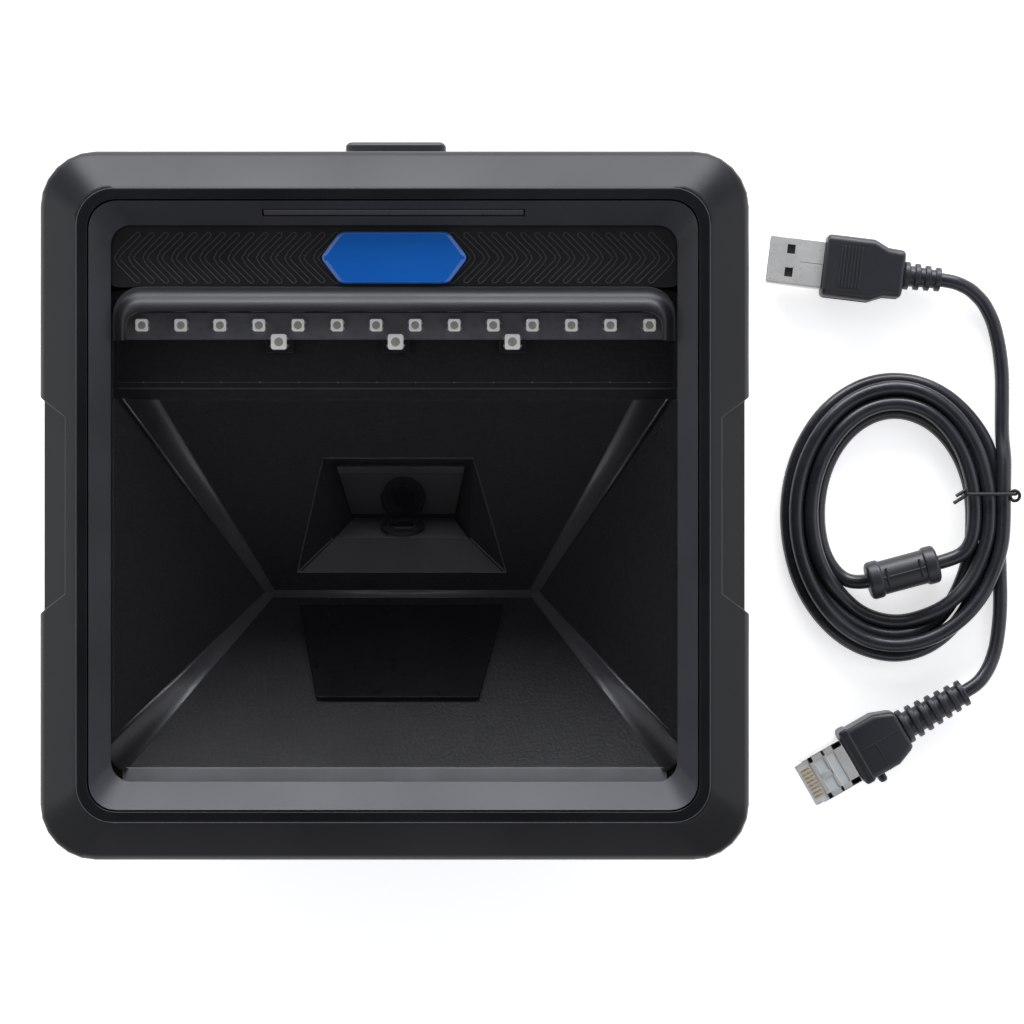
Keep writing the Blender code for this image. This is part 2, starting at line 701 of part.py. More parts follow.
def lens_wall_direction():
    return Vector((0, VEE_Y - SHELF_Y, VEE_Z - SHELF_Z)).normalized()


def lens_frame(offset):
    """Place on the lens axis, ahead of the wall by offset, and the rotation onto it."""
    down = lens_wall_direction()
    out = Vector((0, -down.z, down.y))
    place = Vector((0, SHELF_Y, SHELF_Z)) + down * LENS_DOWN_WALL + out * offset
    return place, (math.atan2(-out.y, out.z), 0, 0)


def slanted_plate(name, bottom, top, half_bottom, half_top, lift, material):
    """A flat trapezoid resting on a slanted wall, lifted off it by the usual gap."""
    along = (top - bottom).normalized()
    normal = Vector((0, -along.z, along.y))
    if normal.z < 0:
        normal = -normal
    rings = []
    for height in (lift, lift + MIRROR_THICKNESS):
        corners = [Vector((x, *place)) for x, place in (
            (-half_bottom, (bottom + normal * height).yz),
            (half_bottom, (bottom + normal * height).yz),
            (half_top, (top + normal * height).yz),
            (-half_top, (top + normal * height).yz))]
        rings.append(corners)
    add_part(name, loft_mesh(name, rings), material)


def make_mirrors():
    foot = Vector((0, VEE_Y, VEE_Z))
    head = Vector((0, MIRROR_TOP_Y, MIRROR_TOP_Z))
    up = (head - foot).normalized()
    slanted_plate("fold_mirror", foot + up * 3.4 * MM, head - up * 1.0 * MM,
                  12.6 * MM, 15.2 * MM, GAP, "mirror_dark")

    def on_floor(y):
        slope = (FLANGE_TOP - DEEP_Z) / (CAVITY_LOW_Y - DEEP_Y)
        return Vector((0, y, DEEP_Z + slope * (y - DEEP_Y)))

    slanted_plate("lower_mirror", on_floor(LOWER_MIRROR_DEEP_Y),
                  on_floor(LOWER_MIRROR_FRONT_Y), LOWER_MIRROR_DEEP_HALF,
                  LOWER_MIRROR_FRONT_HALF, GAP, "mirror_dark")


def make_camera():
    place, rotation = lens_frame(0.0)
    profile = [
        (0.0, 0.5 * MM), (3.0 * MM, 0.5 * MM), (4.4 * MM, 1.2 * MM),
        (LENS_FLANGE_RADIUS, 1.2 * MM), (LENS_FLANGE_RADIUS, GAP),
        (LENS_NECK_RADIUS, GAP), (LENS_NECK_RADIUS, -LENS_NECK_LENGTH),
        (0.0, -LENS_NECK_LENGTH),
    ]
    turned_part("lens_barrel", profile, "lens_black", place, rotation)
    dome = [(0.0, 1.15 * MM), (1.6 * MM, 1.05 * MM), (LENS_GLASS_RADIUS, 0.85 * MM),
            (LENS_GLASS_RADIUS, 0.75 * MM), (0.0, 0.75 * MM)]
    turned_part("lens_front_glass", dome, "lens_glass", place, rotation, 24)
    place, rotation = lens_frame(-LENS_NECK_LENGTH - GAP - 0.6 * MM)
    down = lens_wall_direction()
    add_part("camera_board", box_mesh("camera_board", (24 * MM, 12 * MM, 1.2 * MM)),
             "circuit_board", place + down * 2.0 * MM, rotation)


# ---------------------------------------------------------------- lights
def row_places(count, pitch):
    return [(i - (count - 1) / 2) * pitch for i in range(count)]


def make_led_board():
    outline = [(-LED_BOARD_HALF_X, LED_BOARD_HIGH_Y), (-LED_BOARD_HALF_X, LED_BOARD_LOW_Y)]
    for x in row_places(AIM_LED_COUNT, AIM_LED_PITCH):
        outline += [(x - AIM_TAB_HALF, LED_BOARD_LOW_Y), (x - AIM_TAB_HALF, AIM_TAB_LOW_Y),
                    (x + AIM_TAB_HALF, AIM_TAB_LOW_Y), (x + AIM_TAB_HALF, LED_BOARD_LOW_Y)]
    outline += [(LED_BOARD_HALF_X, LED_BOARD_LOW_Y), (LED_BOARD_HALF_X, LED_BOARD_HIGH_Y)]
    curve = bpy.data.curves.new("led_board", "CURVE")
    curve.dimensions = "2D"
    curve.fill_mode = "BOTH"
    curve.extrude = BOARD_THICKNESS / 2
    spline = curve.splines.new("POLY")
    spline.points.add(len(outline) - 1)
    for target, (x, y) in zip(spline.points, outline):
        target.co = (x, y, 0, 1)
    spline.use_cyclic_u = True
    add_part("led_board", curve, "led_board", (0, 0, LEDGE_TOP + GAP + BOARD_THICKNESS / 2))


def make_leds():
    low = LEDGE_TOP + 2 * GAP + BOARD_THICKNESS
    white = box_mesh("led_white", (LED_SIZE, LED_SIZE, 1.4 * MM))
    for number, x in enumerate(row_places(LED_COUNT, LED_PITCH), 1):
        add_part(f"led_white_{number:02d}", white, "led_body", (x, LED_Y, low + 0.7 * MM))
    aim = box_mesh("led_aim", (AIM_LED_SIZE, AIM_LED_SIZE - 0.2 * MM, 1.7 * MM))
    for number, x in enumerate(row_places(AIM_LED_COUNT, AIM_LED_PITCH), 1):
        add_part(f"led_aim_{number}", aim, "led_body", (x, AIM_LED_Y, low + 0.85 * MM))


# ---------------------------------------------------------------- rear housing and base
def make_rear_housing():
    lip = BODY_HALF - FRAME_WALL - 0.4 * MM
    top = FRAME_BOTTOM - GAP
    inner_bottom = BASE_HALF + GAP
    profile = [
        (HOUSING_BOTTOM_HALF - 0.8 * MM, 10.4 * MM, HOUSING_BOTTOM),
        (HOUSING_BOTTOM_HALF, 11.0 * MM, HOUSING_BOTTOM + 0.9 * MM),
        (HOUSING_TOP_HALF, 12.0 * MM, top),
        (lip, 9.6 * MM, top),
        (lip, 9.6 * MM, HOUSING_LIP_TOP),
        (lip - 1.8 * MM, 8.2 * MM, HOUSING_LIP_TOP),
        (lip - 1.8 * MM, 8.2 * MM, top - 0.7 * MM),
        (inner_bottom, 9.2 * MM, HOUSING_BOTTOM + 0.9 * MM),
        (inner_bottom, 9.2 * MM, HOUSING_BOTTOM),
    ]
    rings = [rounded_rectangle(half, half, radius, z) for half, radius, z in profile]
    housing = add_part("rear_housing", loft_mesh("rear_housing", rings, closed=True),
                       "housing_black")
    low = BASE_HIGH + GAP
    boss = cylinder_mesh("boss", BOSS_RADIUS, BOSS_TOP - low, 24)
    hole = cylinder_mesh("boss_hole", SCREW_SHANK_RADIUS + GAP, BOSS_TOP - low, 16)
    for number, (x, y) in enumerate(corner_places(SCREW_PLACE), 1):
        middle = (BOSS_TOP + low) / 2
        cut(housing, add_cutter(f"join_boss_{number}", boss, (x, y, middle)), "UNION")
        cut(housing, add_cutter(f"cut_boss_{number}", hole, (x, y, middle - 2 * MM)))
    half_x = JACK_HALF_X + 0.5 * MM
    low_z = MAIN_BOARD_LOW + BOARD_THICKNESS - 0.3 * MM
    high_z = low_z + JACK_HEIGHT + 1.2 * MM
    cut(housing, box_cutter("cut_jack_window", (-half_x, -BODY_HALF, low_z),
                            (half_x, JACK_MOUTH_Y + 5 * MM, high_z)))


def corner_places(reach):
    return [(sx * reach, sy * reach) for sx in (-1, 1) for sy in (-1, 1)]


def make_base():
    mesh = plate_mesh("base_cover", BASE_HALF, -BASE_HALF, BASE_HALF, 8.9 * MM,
                      BASE_LOW, BASE_HIGH)
    base = add_part("base_cover", mesh, "housing_black")
    post_high = MAIN_BOARD_LOW - GAP
    post_low = (BASE_LOW + BASE_HIGH) / 2
    post = cylinder_mesh("standoff", STANDOFF_RADIUS, post_high - post_low, 16)
    for number, (x, y) in enumerate(corner_places(STANDOFF_PLACE), 1):
        middle = (post_high + post_low) / 2
        cut(base, add_cutter(f"join_standoff_{number}", post, (x, y, middle)), "UNION")
    hole = cylinder_mesh("screw_hole", SCREW_SHANK_RADIUS + 0.4 * MM, 8 * MM, 16)
    sink = cylinder_mesh("screw_sink", SCREW_HEAD_RADIUS + 0.4 * MM, 2.8 * MM, 24)
    for number, (x, y) in enumerate(corner_places(SCREW_PLACE), 1):
        cut(base, add_cutter(f"cut_sink_{number}", sink, (x, y, BASE_LOW)))
        cut(base, add_cutter(f"cut_screw_hole_{number}", hole, (x, y, BASE_LOW)))
        head = [
            (0.0, 9.0 * MM), (SCREW_SHANK_RADIUS, 9.0 * MM), (SCREW_SHANK_RADIUS, 1.1 * MM),
            (SCREW_HEAD_RADIUS, 1.1 * MM), (SCREW_HEAD_RADIUS, 0.3 * MM),
            (SCREW_HEAD_RADIUS - 0.4 * MM, 0.0), (0.0, 0.0),
        ]
        turned_part(f"base_screw_{number}", head, "steel", (x, y, BASE_LOW), steps=20)
    top = BASE_LOW - GAP
    foot = [(0.0, top), (FOOT_RADIUS, top), (FOOT_RADIUS, 0.4 * MM),
            (FOOT_RADIUS - 0.5 * MM, 0.0), (0.0, 0.0)]
    for number, (x, y) in enumerate(corner_places(FOOT_PLACE), 1):
        turned_part(f"foot_{number}", foot, "rubber_black", (x, y, 0))


def make_electronics():
    board_top = MAIN_BOARD_LOW + BOARD_THICKNESS
    box_part("main_board", (-50 * MM, -52 * MM, MAIN_BOARD_LOW), (50 * MM, 52 * MM, board_top),
             "circuit_board")
    low = board_top + GAP
    jack = box_part("rj45_jack", (-JACK_HALF_X, JACK_MOUTH_Y, low),
                    (JACK_HALF_X, JACK_MOUTH_Y + JACK_LENGTH, low + JACK_HEIGHT), "jack_shield")
    floor = low + SOCKET_LOW
    cut(jack, box_cutter("cut_socket", (-SOCKET_HALF_X, JACK_MOUTH_Y - 1 * MM, floor),
                         (SOCKET_HALF_X, JACK_MOUTH_Y + SOCKET_DEPTH, floor + SOCKET_HEIGHT)))
    cut(jack, box_cutter(
        "cut_socket_key",
        (-SOCKET_KEY_HALF_X, JACK_MOUTH_Y - 1 * MM, floor + SOCKET_HEIGHT - 1 * MM),
        (SOCKET_KEY_HALF_X, JACK_MOUTH_Y + SOCKET_DEPTH - 4 * MM,
         floor + SOCKET_HEIGHT + SOCKET_KEY_HEIGHT)))


# ---------------------------------------------------------------- button and its switch
def make_button():
    front = BODY_HALF + BUTTON_PROUD
    flange_front = BUTTON_BACK_Y + 1.6 * MM
    stations = [
        (BUTTON_FLANGE, BUTTON_BACK_Y), (BUTTON_FLANGE, flange_front),
        (0.0, flange_front), (0.0, front - 0.8 * MM), (-0.25 * MM, front - 0.25 * MM),
        (-0.8 * MM, front),
    ]
    rings = [button_rings(BUTTON_HALF_X + grow, BUTTON_HALF_Z + grow, BUTTON_CORNER + grow,
                          y - BUTTON_BACK_Y) for grow, y in stations]
    add_part("top_button", loft_mesh("top_button", rings), "bezel_black",
             (0, BUTTON_BACK_Y, BUTTON_Z))


def make_switch():
    tip = BUTTON_BACK_Y - SWITCH_TIP_GAP
    body_front = tip - 1.1 * MM
    body_back = body_front - 3.3 * MM
    half = 3.1 * MM
    body = box_part("button_switch", (-half, body_back, BUTTON_Z - half),
                    (half, body_front, BUTTON_Z + half), "connector_black")
    facing = (-math.pi / 2, 0, 0)
    bore = cylinder_mesh("switch_bore", 1.9 * MM, 4.0 * MM, 20)
    cut(body, add_cutter("cut_switch_bore", bore, (0, body_front, BUTTON_Z), facing))
    stem = [(0.0, 0.0), (1.3 * MM, 0.0), (1.6 * MM, -0.3 * MM), (1.6 * MM, -2.3 * MM),
            (0.0, -2.3 * MM)]
    turned_part("switch_plunger", stem, "insulator_white", (0, tip, BUTTON_Z), facing, 20)
    box_part("switch_board", (-10 * MM, body_back - GAP - 1.2 * MM, 61 * MM),
             (10 * MM, body_back - GAP, 72.4 * MM), "circuit_board")


# ---------------------------------------------------------------- cable
def along_plug(tip, angle, distance, z):
    """World place of a point at a distance from a plug's tip towards its cord."""
    turn = math.radians(angle)
    return (tip[0] + distance * math.cos(turn), tip[1] + distance * math.sin(turn), z)


def plug_ring(x, half_y, half_z, radius, centre_z=0.0):
    outline = rounded_rectangle(half_y, half_z, radius, 0.0, steps=3)
    return [Vector((x, point.x, point.y + centre_z)) for point in outline]


def plug_part(name, tip, angle, axis_z, stations, material):
    """A moulded piece lofted along the plug's own axis from its tip side."""
    rings = [plug_ring(*station) for station in stations]
    place = (tip[0], tip[1], axis_z)
    return add_part(name, loft_mesh(name, rings), material, place,
                    (0, 0, math.radians(angle)))


def ribbed_relief(name, tip, angle, axis_z, start, length, radii, ribs):
    """A tapered strain relief whose ribs alternate with grooves."""
    first, last = radii
    profile = [(0.0, length)]
    for i in range(2 * ribs + 1):
        height = length * (1 - i / (2 * ribs + 1))
        below = length * (1 - (i + 1) / (2 * ribs + 1))
        radius = last + (first - last) * (1 - height / length)
        if i % 2:
            radius *= 0.76
        profile.append((radius, height))
        profile.append((radius, below))
    profile.append((0.0, 0.0))
    place = along_plug(tip, angle, start, axis_z)
    rotation = (0, math.pi / 2, math.radians(angle))
    turned_part(name, profile, "connector_black", place, rotation, 20)


def make_modular_plug():
    half_y = 5.85 * MM
    half_z = 3.25 * MM
    lift = 1.55 * MM
    stations = [(0.0, half_y, half_z, 0.3 * MM, lift),
                (RJ_PLUG_LENGTH, half_y, half_z, 0.3 * MM, lift)]
    plug_part("rj45_plug", RJ_TIP, RJ_ANGLE, RJ_AXIS_Z, stations, "plug_metal")

    start = RJ_PLUG_LENGTH + GAP
    end = start + RJ_BOOT_LENGTH
    stations = [
        (start, 6.6 * MM, 4.7 * MM, 1.2 * MM), (start + 0.8 * MM, 7.1 * MM, 5.0 * MM, 1.4 * MM),
        (start + 10 * MM, 7.1 * MM, 5.0 * MM, 1.4 * MM),
        (end - 1 * MM, 5.6 * MM, 4.8 * MM, 1.6 * MM), (end, 5.0 * MM, 4.4 * MM, 1.6 * MM),
    ]
    plug_part("rj45_boot", RJ_TIP, RJ_ANGLE, RJ_AXIS_Z, stations, "connector_black")
    ribbed_relief("rj45_relief", RJ_TIP, RJ_ANGLE, RJ_AXIS_Z, end + GAP, RJ_RELIEF_LENGTH,
                  (4.6 * MM, 3.5 * MM), 6)

    hinge_x, hinge_z = LATCH_HINGE
    bm = bmesh.new()
    size = Matrix.Diagonal((LATCH_LENGTH, 3.2 * MM, 0.6 * MM, 1.0))
    shift = Matrix.Translation((LATCH_LENGTH / 2, 0, 0))
    tilt = Matrix.Rotation(math.radians(LATCH_DROP), 4, "Y")
    bmesh.ops.create_cube(bm, size=1.0, matrix=tilt @ shift @ size)
    add_part("rj45_latch", mesh_from("rj45_latch", bm), "plug_clear",
             along_plug(RJ_TIP, RJ_ANGLE, hinge_x, hinge_z), (0, 0, math.radians(RJ_ANGLE)))


def make_usb_plug():
    half_y = 6.0 * MM
    half_z = 2.25 * MM
    wall = 0.4 * MM
    shell = plug_part("usb_shell", USB_TIP, USB_ANGLE, USB_AXIS_Z,
                      [(0.0, half_y, half_z, 0.5 * MM),
                       (USB_SHELL_LENGTH, half_y, half_z, 0.5 * MM)], "plug_metal")
    rings = [plug_ring(x, half_y - wall, half_z - wall, 0.3 * MM)
             for x in (-2 * MM, USB_SHELL_LENGTH - 1 * MM)]
    inside = add_cutter("cut_usb_inside", loft_mesh("cut_usb_inside", rings),
                        (USB_TIP[0], USB_TIP[1], USB_AXIS_Z), (0, 0, math.radians(USB_ANGLE)))
    cut(shell, inside)
    start = USB_SHELL_LENGTH + GAP
    end = start + USB_MOLD_LENGTH
    stations = [
        (start, 7.3 * MM, 3.8 * MM, 1.4 * MM), (start + 0.7 * MM, 7.8 * MM, 4.2 * MM, 1.8 * MM),
        (start + 12 * MM, 7.8 * MM, 4.2 * MM, 1.8 * MM),
        (end - 4.5 * MM, 6.2 * MM, 3.9 * MM, 1.8 * MM), (end - 0.6 * MM, 6.0 * MM, 3.8 * MM, 1.8 * MM),
        (end, 5.4 * MM, 3.3 * MM, 1.6 * MM),
    ]
    plug_part("usb_overmold", USB_TIP, USB_ANGLE, USB_AXIS_Z, stations, "connector_black")
    ribbed_relief("usb_relief", USB_TIP, USB_ANGLE, USB_AXIS_Z, end + GAP, USB_RELIEF_LENGTH,
                  (3.6 * MM, 3.0 * MM), 3)


def ellipse(half_x, half_y, z, steps=48):
    points = []
    for step in range(steps):
        angle = 2 * math.pi * step / steps
        points.append(Vector((half_x * math.cos(angle), half_y * math.sin(angle), z)))
    return points


def make_coil():
    """The outer shape of the bundle of turns, notched where the tie passes under it."""
    outer_x, outer_y = COIL_OUTER
    rings = []
    for inset, z in ((0.0, COIL_EDGE), (0.0, COIL_HEIGHT - COIL_EDGE),
                     (COIL_EDGE, COIL_HEIGHT), (COIL_BAND - COIL_EDGE, COIL_HEIGHT),
                     (COIL_BAND, COIL_HEIGHT - COIL_EDGE), (COIL_BAND, COIL_EDGE),
                     (COIL_BAND - COIL_EDGE, 0.0), (COIL_EDGE, 0.0)):
        rings.append(ellipse(outer_x - inset, outer_y - inset, z))
    coil = add_part("cord_coil", loft_mesh("cord_coil", rings, closed=True), "cord_black",
                    (COIL_X, COIL_Y, 0))
    notch_high = 2 * TIE_RADIUS + GAP
    cut(coil, box_cutter("cut_tie_notch",
                         (COIL_X + outer_x - COIL_BAND - 2 * MM, TIE_Y - 0.8 * MM, -1 * MM),
                         (COIL_X + outer_x + 2 * MM, TIE_Y + 0.8 * MM, notch_high)))

    low_x = COIL_X + outer_x - COIL_BAND - 1.1 * MM
    high_x = COIL_X + outer_x + TIE_RADIUS + GAP - 0.2 * MM
    low_z = TIE_RADIUS
    high_z = COIL_HEIGHT + GAP + TIE_RADIUS
    loop = rounded_rectangle((high_x - low_x) / 2, (high_z - low_z) / 2, 1.2 * MM, 0.0, steps=3)
    points = [Vector((point.x + (low_x + high_x) / 2, TIE_Y, point.y + (low_z + high_z) / 2))
              for point in loop]
    tube_part("twist_tie", points, TIE_RADIUS, "cord_black", cyclic=True)


def make_ferrite():
    half = FERRITE_LENGTH / 2
    edge = 0.8 * MM
    profile = [
        (0.0, half), (FERRITE_RADIUS - edge, half), (FERRITE_RADIUS, half - edge),
        (FERRITE_RADIUS, -half + edge), (FERRITE_RADIUS - edge, -half), (0.0, -half),
    ]
    turned_part("ferrite", profile, "connector_black",
                (FERRITE_PLACE[0], FERRITE_PLACE[1], FERRITE_RADIUS),
                (0, math.pi / 2, math.radians(FERRITE_ANGLE)), 24)


def make_cable():
    make_modular_plug()
    make_usb_plug()
    make_coil()
    make_ferrite()
    cord_part("cord_usb_tail", USB_TAIL)
    cord_part("cord_rj45_tail", RJ_TAIL)


def build():
    make_front_frame()
    make_window_bezel()
    make_window_plates()
    make_led_hood()
    make_badge()
    make_optics_chamber()
    make_mirrors()
    make_camera()
    make_led_board()
    make_leds()
    make_rear_housing()
    make_base()
    make_electronics()
    make_button()
    make_switch()
    make_cable()


clear_scene()
PARTS = new_collection("barcode_scanner")
CUTTERS = new_collection("cutters")
ORIGIN = bpy.data.objects.new("scanner_origin", None)
PARTS.objects.link(ORIGIN)
# The button stands out on +Y, so the body sits back by half of that
ORIGIN.location = (0, -BUTTON_PROUD / 2, 0)
build()
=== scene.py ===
"""Looks for the flatbed window barcode scanner and its coiled data cable."""

import json
import math

import bmesh
import bpy
import numpy as np
from mathutils import Matrix, Vector

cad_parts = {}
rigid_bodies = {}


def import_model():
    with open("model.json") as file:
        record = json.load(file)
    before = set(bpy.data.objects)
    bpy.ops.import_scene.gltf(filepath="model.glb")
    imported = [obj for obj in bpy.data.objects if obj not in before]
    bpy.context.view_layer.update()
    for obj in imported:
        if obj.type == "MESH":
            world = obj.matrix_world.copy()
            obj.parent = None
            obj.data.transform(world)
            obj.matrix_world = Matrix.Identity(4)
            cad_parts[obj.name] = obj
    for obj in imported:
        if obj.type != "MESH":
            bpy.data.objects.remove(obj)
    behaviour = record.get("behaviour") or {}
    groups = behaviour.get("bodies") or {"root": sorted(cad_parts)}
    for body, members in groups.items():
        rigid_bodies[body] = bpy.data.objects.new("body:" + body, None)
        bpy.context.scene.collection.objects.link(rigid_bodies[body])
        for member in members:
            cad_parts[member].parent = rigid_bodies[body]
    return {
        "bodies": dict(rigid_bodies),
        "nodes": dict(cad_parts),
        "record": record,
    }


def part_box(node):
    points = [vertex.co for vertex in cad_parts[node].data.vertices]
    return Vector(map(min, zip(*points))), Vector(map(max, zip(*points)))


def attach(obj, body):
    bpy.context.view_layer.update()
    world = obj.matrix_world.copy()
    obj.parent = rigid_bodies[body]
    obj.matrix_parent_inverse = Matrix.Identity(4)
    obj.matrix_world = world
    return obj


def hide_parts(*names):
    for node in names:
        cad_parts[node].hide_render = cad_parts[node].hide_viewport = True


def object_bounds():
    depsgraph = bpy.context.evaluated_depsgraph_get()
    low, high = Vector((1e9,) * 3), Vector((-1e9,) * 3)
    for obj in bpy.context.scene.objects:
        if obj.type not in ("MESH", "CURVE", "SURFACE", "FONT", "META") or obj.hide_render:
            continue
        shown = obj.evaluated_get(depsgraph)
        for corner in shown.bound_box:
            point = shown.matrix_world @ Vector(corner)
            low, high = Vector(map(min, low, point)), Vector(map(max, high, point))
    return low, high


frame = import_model()
cad_low, cad_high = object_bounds()

MM = 0.001
SCANNER = "scanner"
NODES = frame["nodes"]
SLOTS = {part["node"]: part["material_slot"] for part in frame["record"]["subparts"]}


# ---------------- places read from the frame
def middle(node):
    """The centre of a CAD node's box."""
    low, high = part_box(node)
    return (low + high) / 2


def underside(node):
    """The shift from the origin to the middle of a CAD node's underside."""
    centre = middle(node)
    return Matrix.Translation((centre.x, centre.y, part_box(node)[0].z))


SCANNER_CENTRE = middle("front_frame")
FRAME_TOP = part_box("front_frame")[1].z
TABLE_Z = cad_low.z
LED_TAB_LENGTH = 3.0 * MM
LED_STRIP_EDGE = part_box("led_board")[0].y + LED_TAB_LENGTH


# ---------------- camera
CAMERA_HEIGHT = 735 * MM
CAMERA_LENS = 102.5
CAMERA_ASIDE = 26.5 * MM         # how far the photo's middle lies from the scanner's, along X
CAMERA_BELOW = 1.46 * MM         # and against Y


def make_camera():
    """The photo's camera, straight above the scanner and the cable."""
    data = bpy.data.cameras.new("camera")
    data.lens = CAMERA_LENS
    data.sensor_width = 36.0
    data.clip_start = 0.05
    camera = bpy.data.objects.new("camera", data)
    camera.location = (SCANNER_CENTRE.x + CAMERA_ASIDE,
                       SCANNER_CENTRE.y - CAMERA_BELOW, CAMERA_HEIGHT)
    bpy.context.collection.objects.link(camera)
    bpy.context.scene.camera = camera


make_camera()


# ---------------- node helpers
MATERIALS = {}


class Tree:
    """A material's node tree, filed under the material's name."""

    def __init__(self, name, colour, roughness, metallic=0.0):
        material = bpy.data.materials.new(name)
        material.use_nodes = True
        MATERIALS[name] = material
        self.tree = material.node_tree
        self.shader = self.tree.nodes["Principled BSDF"]
        self.shader.inputs["Base Color"].default_value = (*colour, 1.0)
        self.shader.inputs["Roughness"].default_value = roughness
        self.shader.inputs["Metallic"].default_value = metallic
        self.colour = colour
        self.place = self.node("ShaderNodeTexCoord").outputs["Object"]

    def node(self, kind, **settings):
        node = self.tree.nodes.new(kind)
        for key, value in settings.items():
            setattr(node, key, value)
        return node

    def link(self, source, target):
        self.tree.links.new(source, target)

    def stretched(self, scale):
        """The object's own coordinates with each axis scaled."""
        mapping = self.node("ShaderNodeMapping")
        mapping.inputs["Scale"].default_value = scale
        self.link(self.place, mapping.inputs["Vector"])
        return mapping.outputs["Vector"]

    def along(self, axis):
        """One of the object's own coordinates."""
        split = self.node("ShaderNodeSeparateXYZ")
        self.link(self.place, split.inputs["Vector"])
        return split.outputs[axis]

    def noise(self, scale, detail=3.0, vector=None):
        node = self.node("ShaderNodeTexNoise")
        node.inputs["Scale"].default_value = scale
        node.inputs["Detail"].default_value = detail
        self.link(vector or self.place, node.inputs["Vector"])
        return node.outputs["Fac"]

    def cells(self, scale):
        node = self.node("ShaderNodeTexVoronoi")
        node.inputs["Scale"].default_value = scale
        self.link(self.place, node.inputs["Vector"])
        return node.outputs["Distance"]

    def remap(self, value, low, high, start=0.3, end=0.7):
        node = self.node("ShaderNodeMapRange")
        for name, number in (("From Min", start), ("From Max", end),
                             ("To Min", low), ("To Max", high)):
            node.inputs[name].default_value = number
        self.link(value, node.inputs["Value"])
        return node.outputs["Result"]

    def mix(self, factor, first, second):
        """A node that mixes two colours."""
        node = self.node("ShaderNodeMix", data_type="RGBA")
        node.inputs["A"].default_value = (*first, 1.0)
        node.inputs["B"].default_value = (*second, 1.0)
        self.link(factor, node.inputs["Factor"])
        return node

    def tint(self, factor, other):
        """Varies the base colour between its own value and another one."""
        node = self.mix(factor, self.colour, other)
        self.link(node.outputs["Result"], self.shader.inputs["Base Color"])
        return node

    def rough(self, value, low, high):
        self.link(self.remap(value, low, high), self.shader.inputs["Roughness"])

    def bump(self, height, strength, depth):
        node = self.node("ShaderNodeBump")
        node.inputs["Strength"].default_value = strength
        node.inputs["Distance"].default_value = depth
        self.link(height, node.inputs["Height"])
        previous = self.shader.inputs["Normal"]
        if previous.is_linked:
            self.link(previous.links[0].from_socket, node.inputs["Normal"])
        self.link(node.outputs["Normal"], self.shader.inputs["Normal"])

    def set(self, **values):
        for name, value in values.items():
            self.shader.inputs[name.replace("_", " ")].default_value = value


def moulded(name, colour, roughness, grain=2600.0, depth=0.03 * MM, strength=0.35,
            shine=0.5):
    """Spark-textured injection moulding: fine grain, with slow changes of gloss and tone."""
    tree = Tree(name, colour, roughness)
    fine = tree.noise(grain, 2.0)
    slow = tree.noise(38.0, 4.0)
    tree.tint(tree.remap(slow, 0.0, 1.0), [1.35 * part for part in colour])
    tree.rough(slow, roughness - 0.04, roughness + 0.05)
    tree.bump(fine, strength, depth)
    tree.set(Specular_IOR_Level=shine)


def chamber_finish(name, colour):
    """The coarse matte texture inside the optics chamber."""
    tree = Tree(name, colour, 0.55)
    coarse = tree.noise(1300.0, 3.0)
    tree.tint(tree.remap(coarse, 0.0, 1.0, 0.35, 0.75), [2.6 * part for part in colour])
    tree.rough(tree.noise(26.0, 4.0), 0.50, 0.64)
    tree.bump(coarse, 1.0, 0.16 * MM)
    tree.set(Specular_IOR_Level=0.30)


PAINTED_HIGHLIGHT_HEIGHTS = (30 * MM, 66 * MM)      # where the painted highlight in the corners is full, and where it ends


def fillet_highlight_finish(name, colour, highlight_colour):
    """The chamber's corner finish: glossier and paler than the walls, with a painted highlight in
    its colour that is brightest at the deep ends.
    """
    tree = Tree(name, colour, 0.36)
    tree.tint(tree.remap(tree.along("Z"), 1.0, 0.0, *PAINTED_HIGHLIGHT_HEIGHTS), highlight_colour)
    fine = tree.noise(1500.0, 2.0)
    tree.rough(fine, 0.32, 0.42)
    tree.bump(fine, 0.35, 0.03 * MM)
    tree.set(Specular_IOR_Level=0.8)


def rubber(name, colour):
    """Matte rubber with worn patches."""
    tree = Tree(name, colour, 0.7)
    tree.rough(tree.noise(240.0, 5.0), 0.55, 0.8)
    tree.tint(tree.remap(tree.noise(70.0, 4.0), 0.0, 1.0), [1.6 * part for part in colour])
    tree.bump(tree.noise(1800.0, 3.0), 0.4, 0.04 * MM)


def metal(name, colour, roughness, metallic=1.0):
    """Drawn sheet metal: fine lines along one way, and faint handling marks."""
    tree = Tree(name, colour, roughness, metallic)
    lines = tree.noise(900.0, 3.0, tree.stretched((1.0, 6.0, 6.0)))
    marks = tree.noise(120.0, 5.0)
    tree.rough(lines, roughness - 0.08, roughness + 0.12)
    tree.tint(tree.remap(marks, 0.0, 1.0), [0.82 * part for part in colour])
    tree.bump(lines, 0.15, 0.01 * MM)


def jacket(name, colour, roughness):
    """Extruded vinyl: a satin skin with slow waves of gloss and a very fine haze."""
    tree = Tree(name, colour, roughness)
    tree.rough(tree.noise(160.0, 4.0), roughness - 0.06, roughness + 0.1)
    tree.tint(tree.remap(tree.noise(60.0, 3.0), 0.0, 1.0), [1.4 * part for part in colour])
    tree.bump(tree.noise(900.0, 3.0), 0.12, 0.03 * MM)


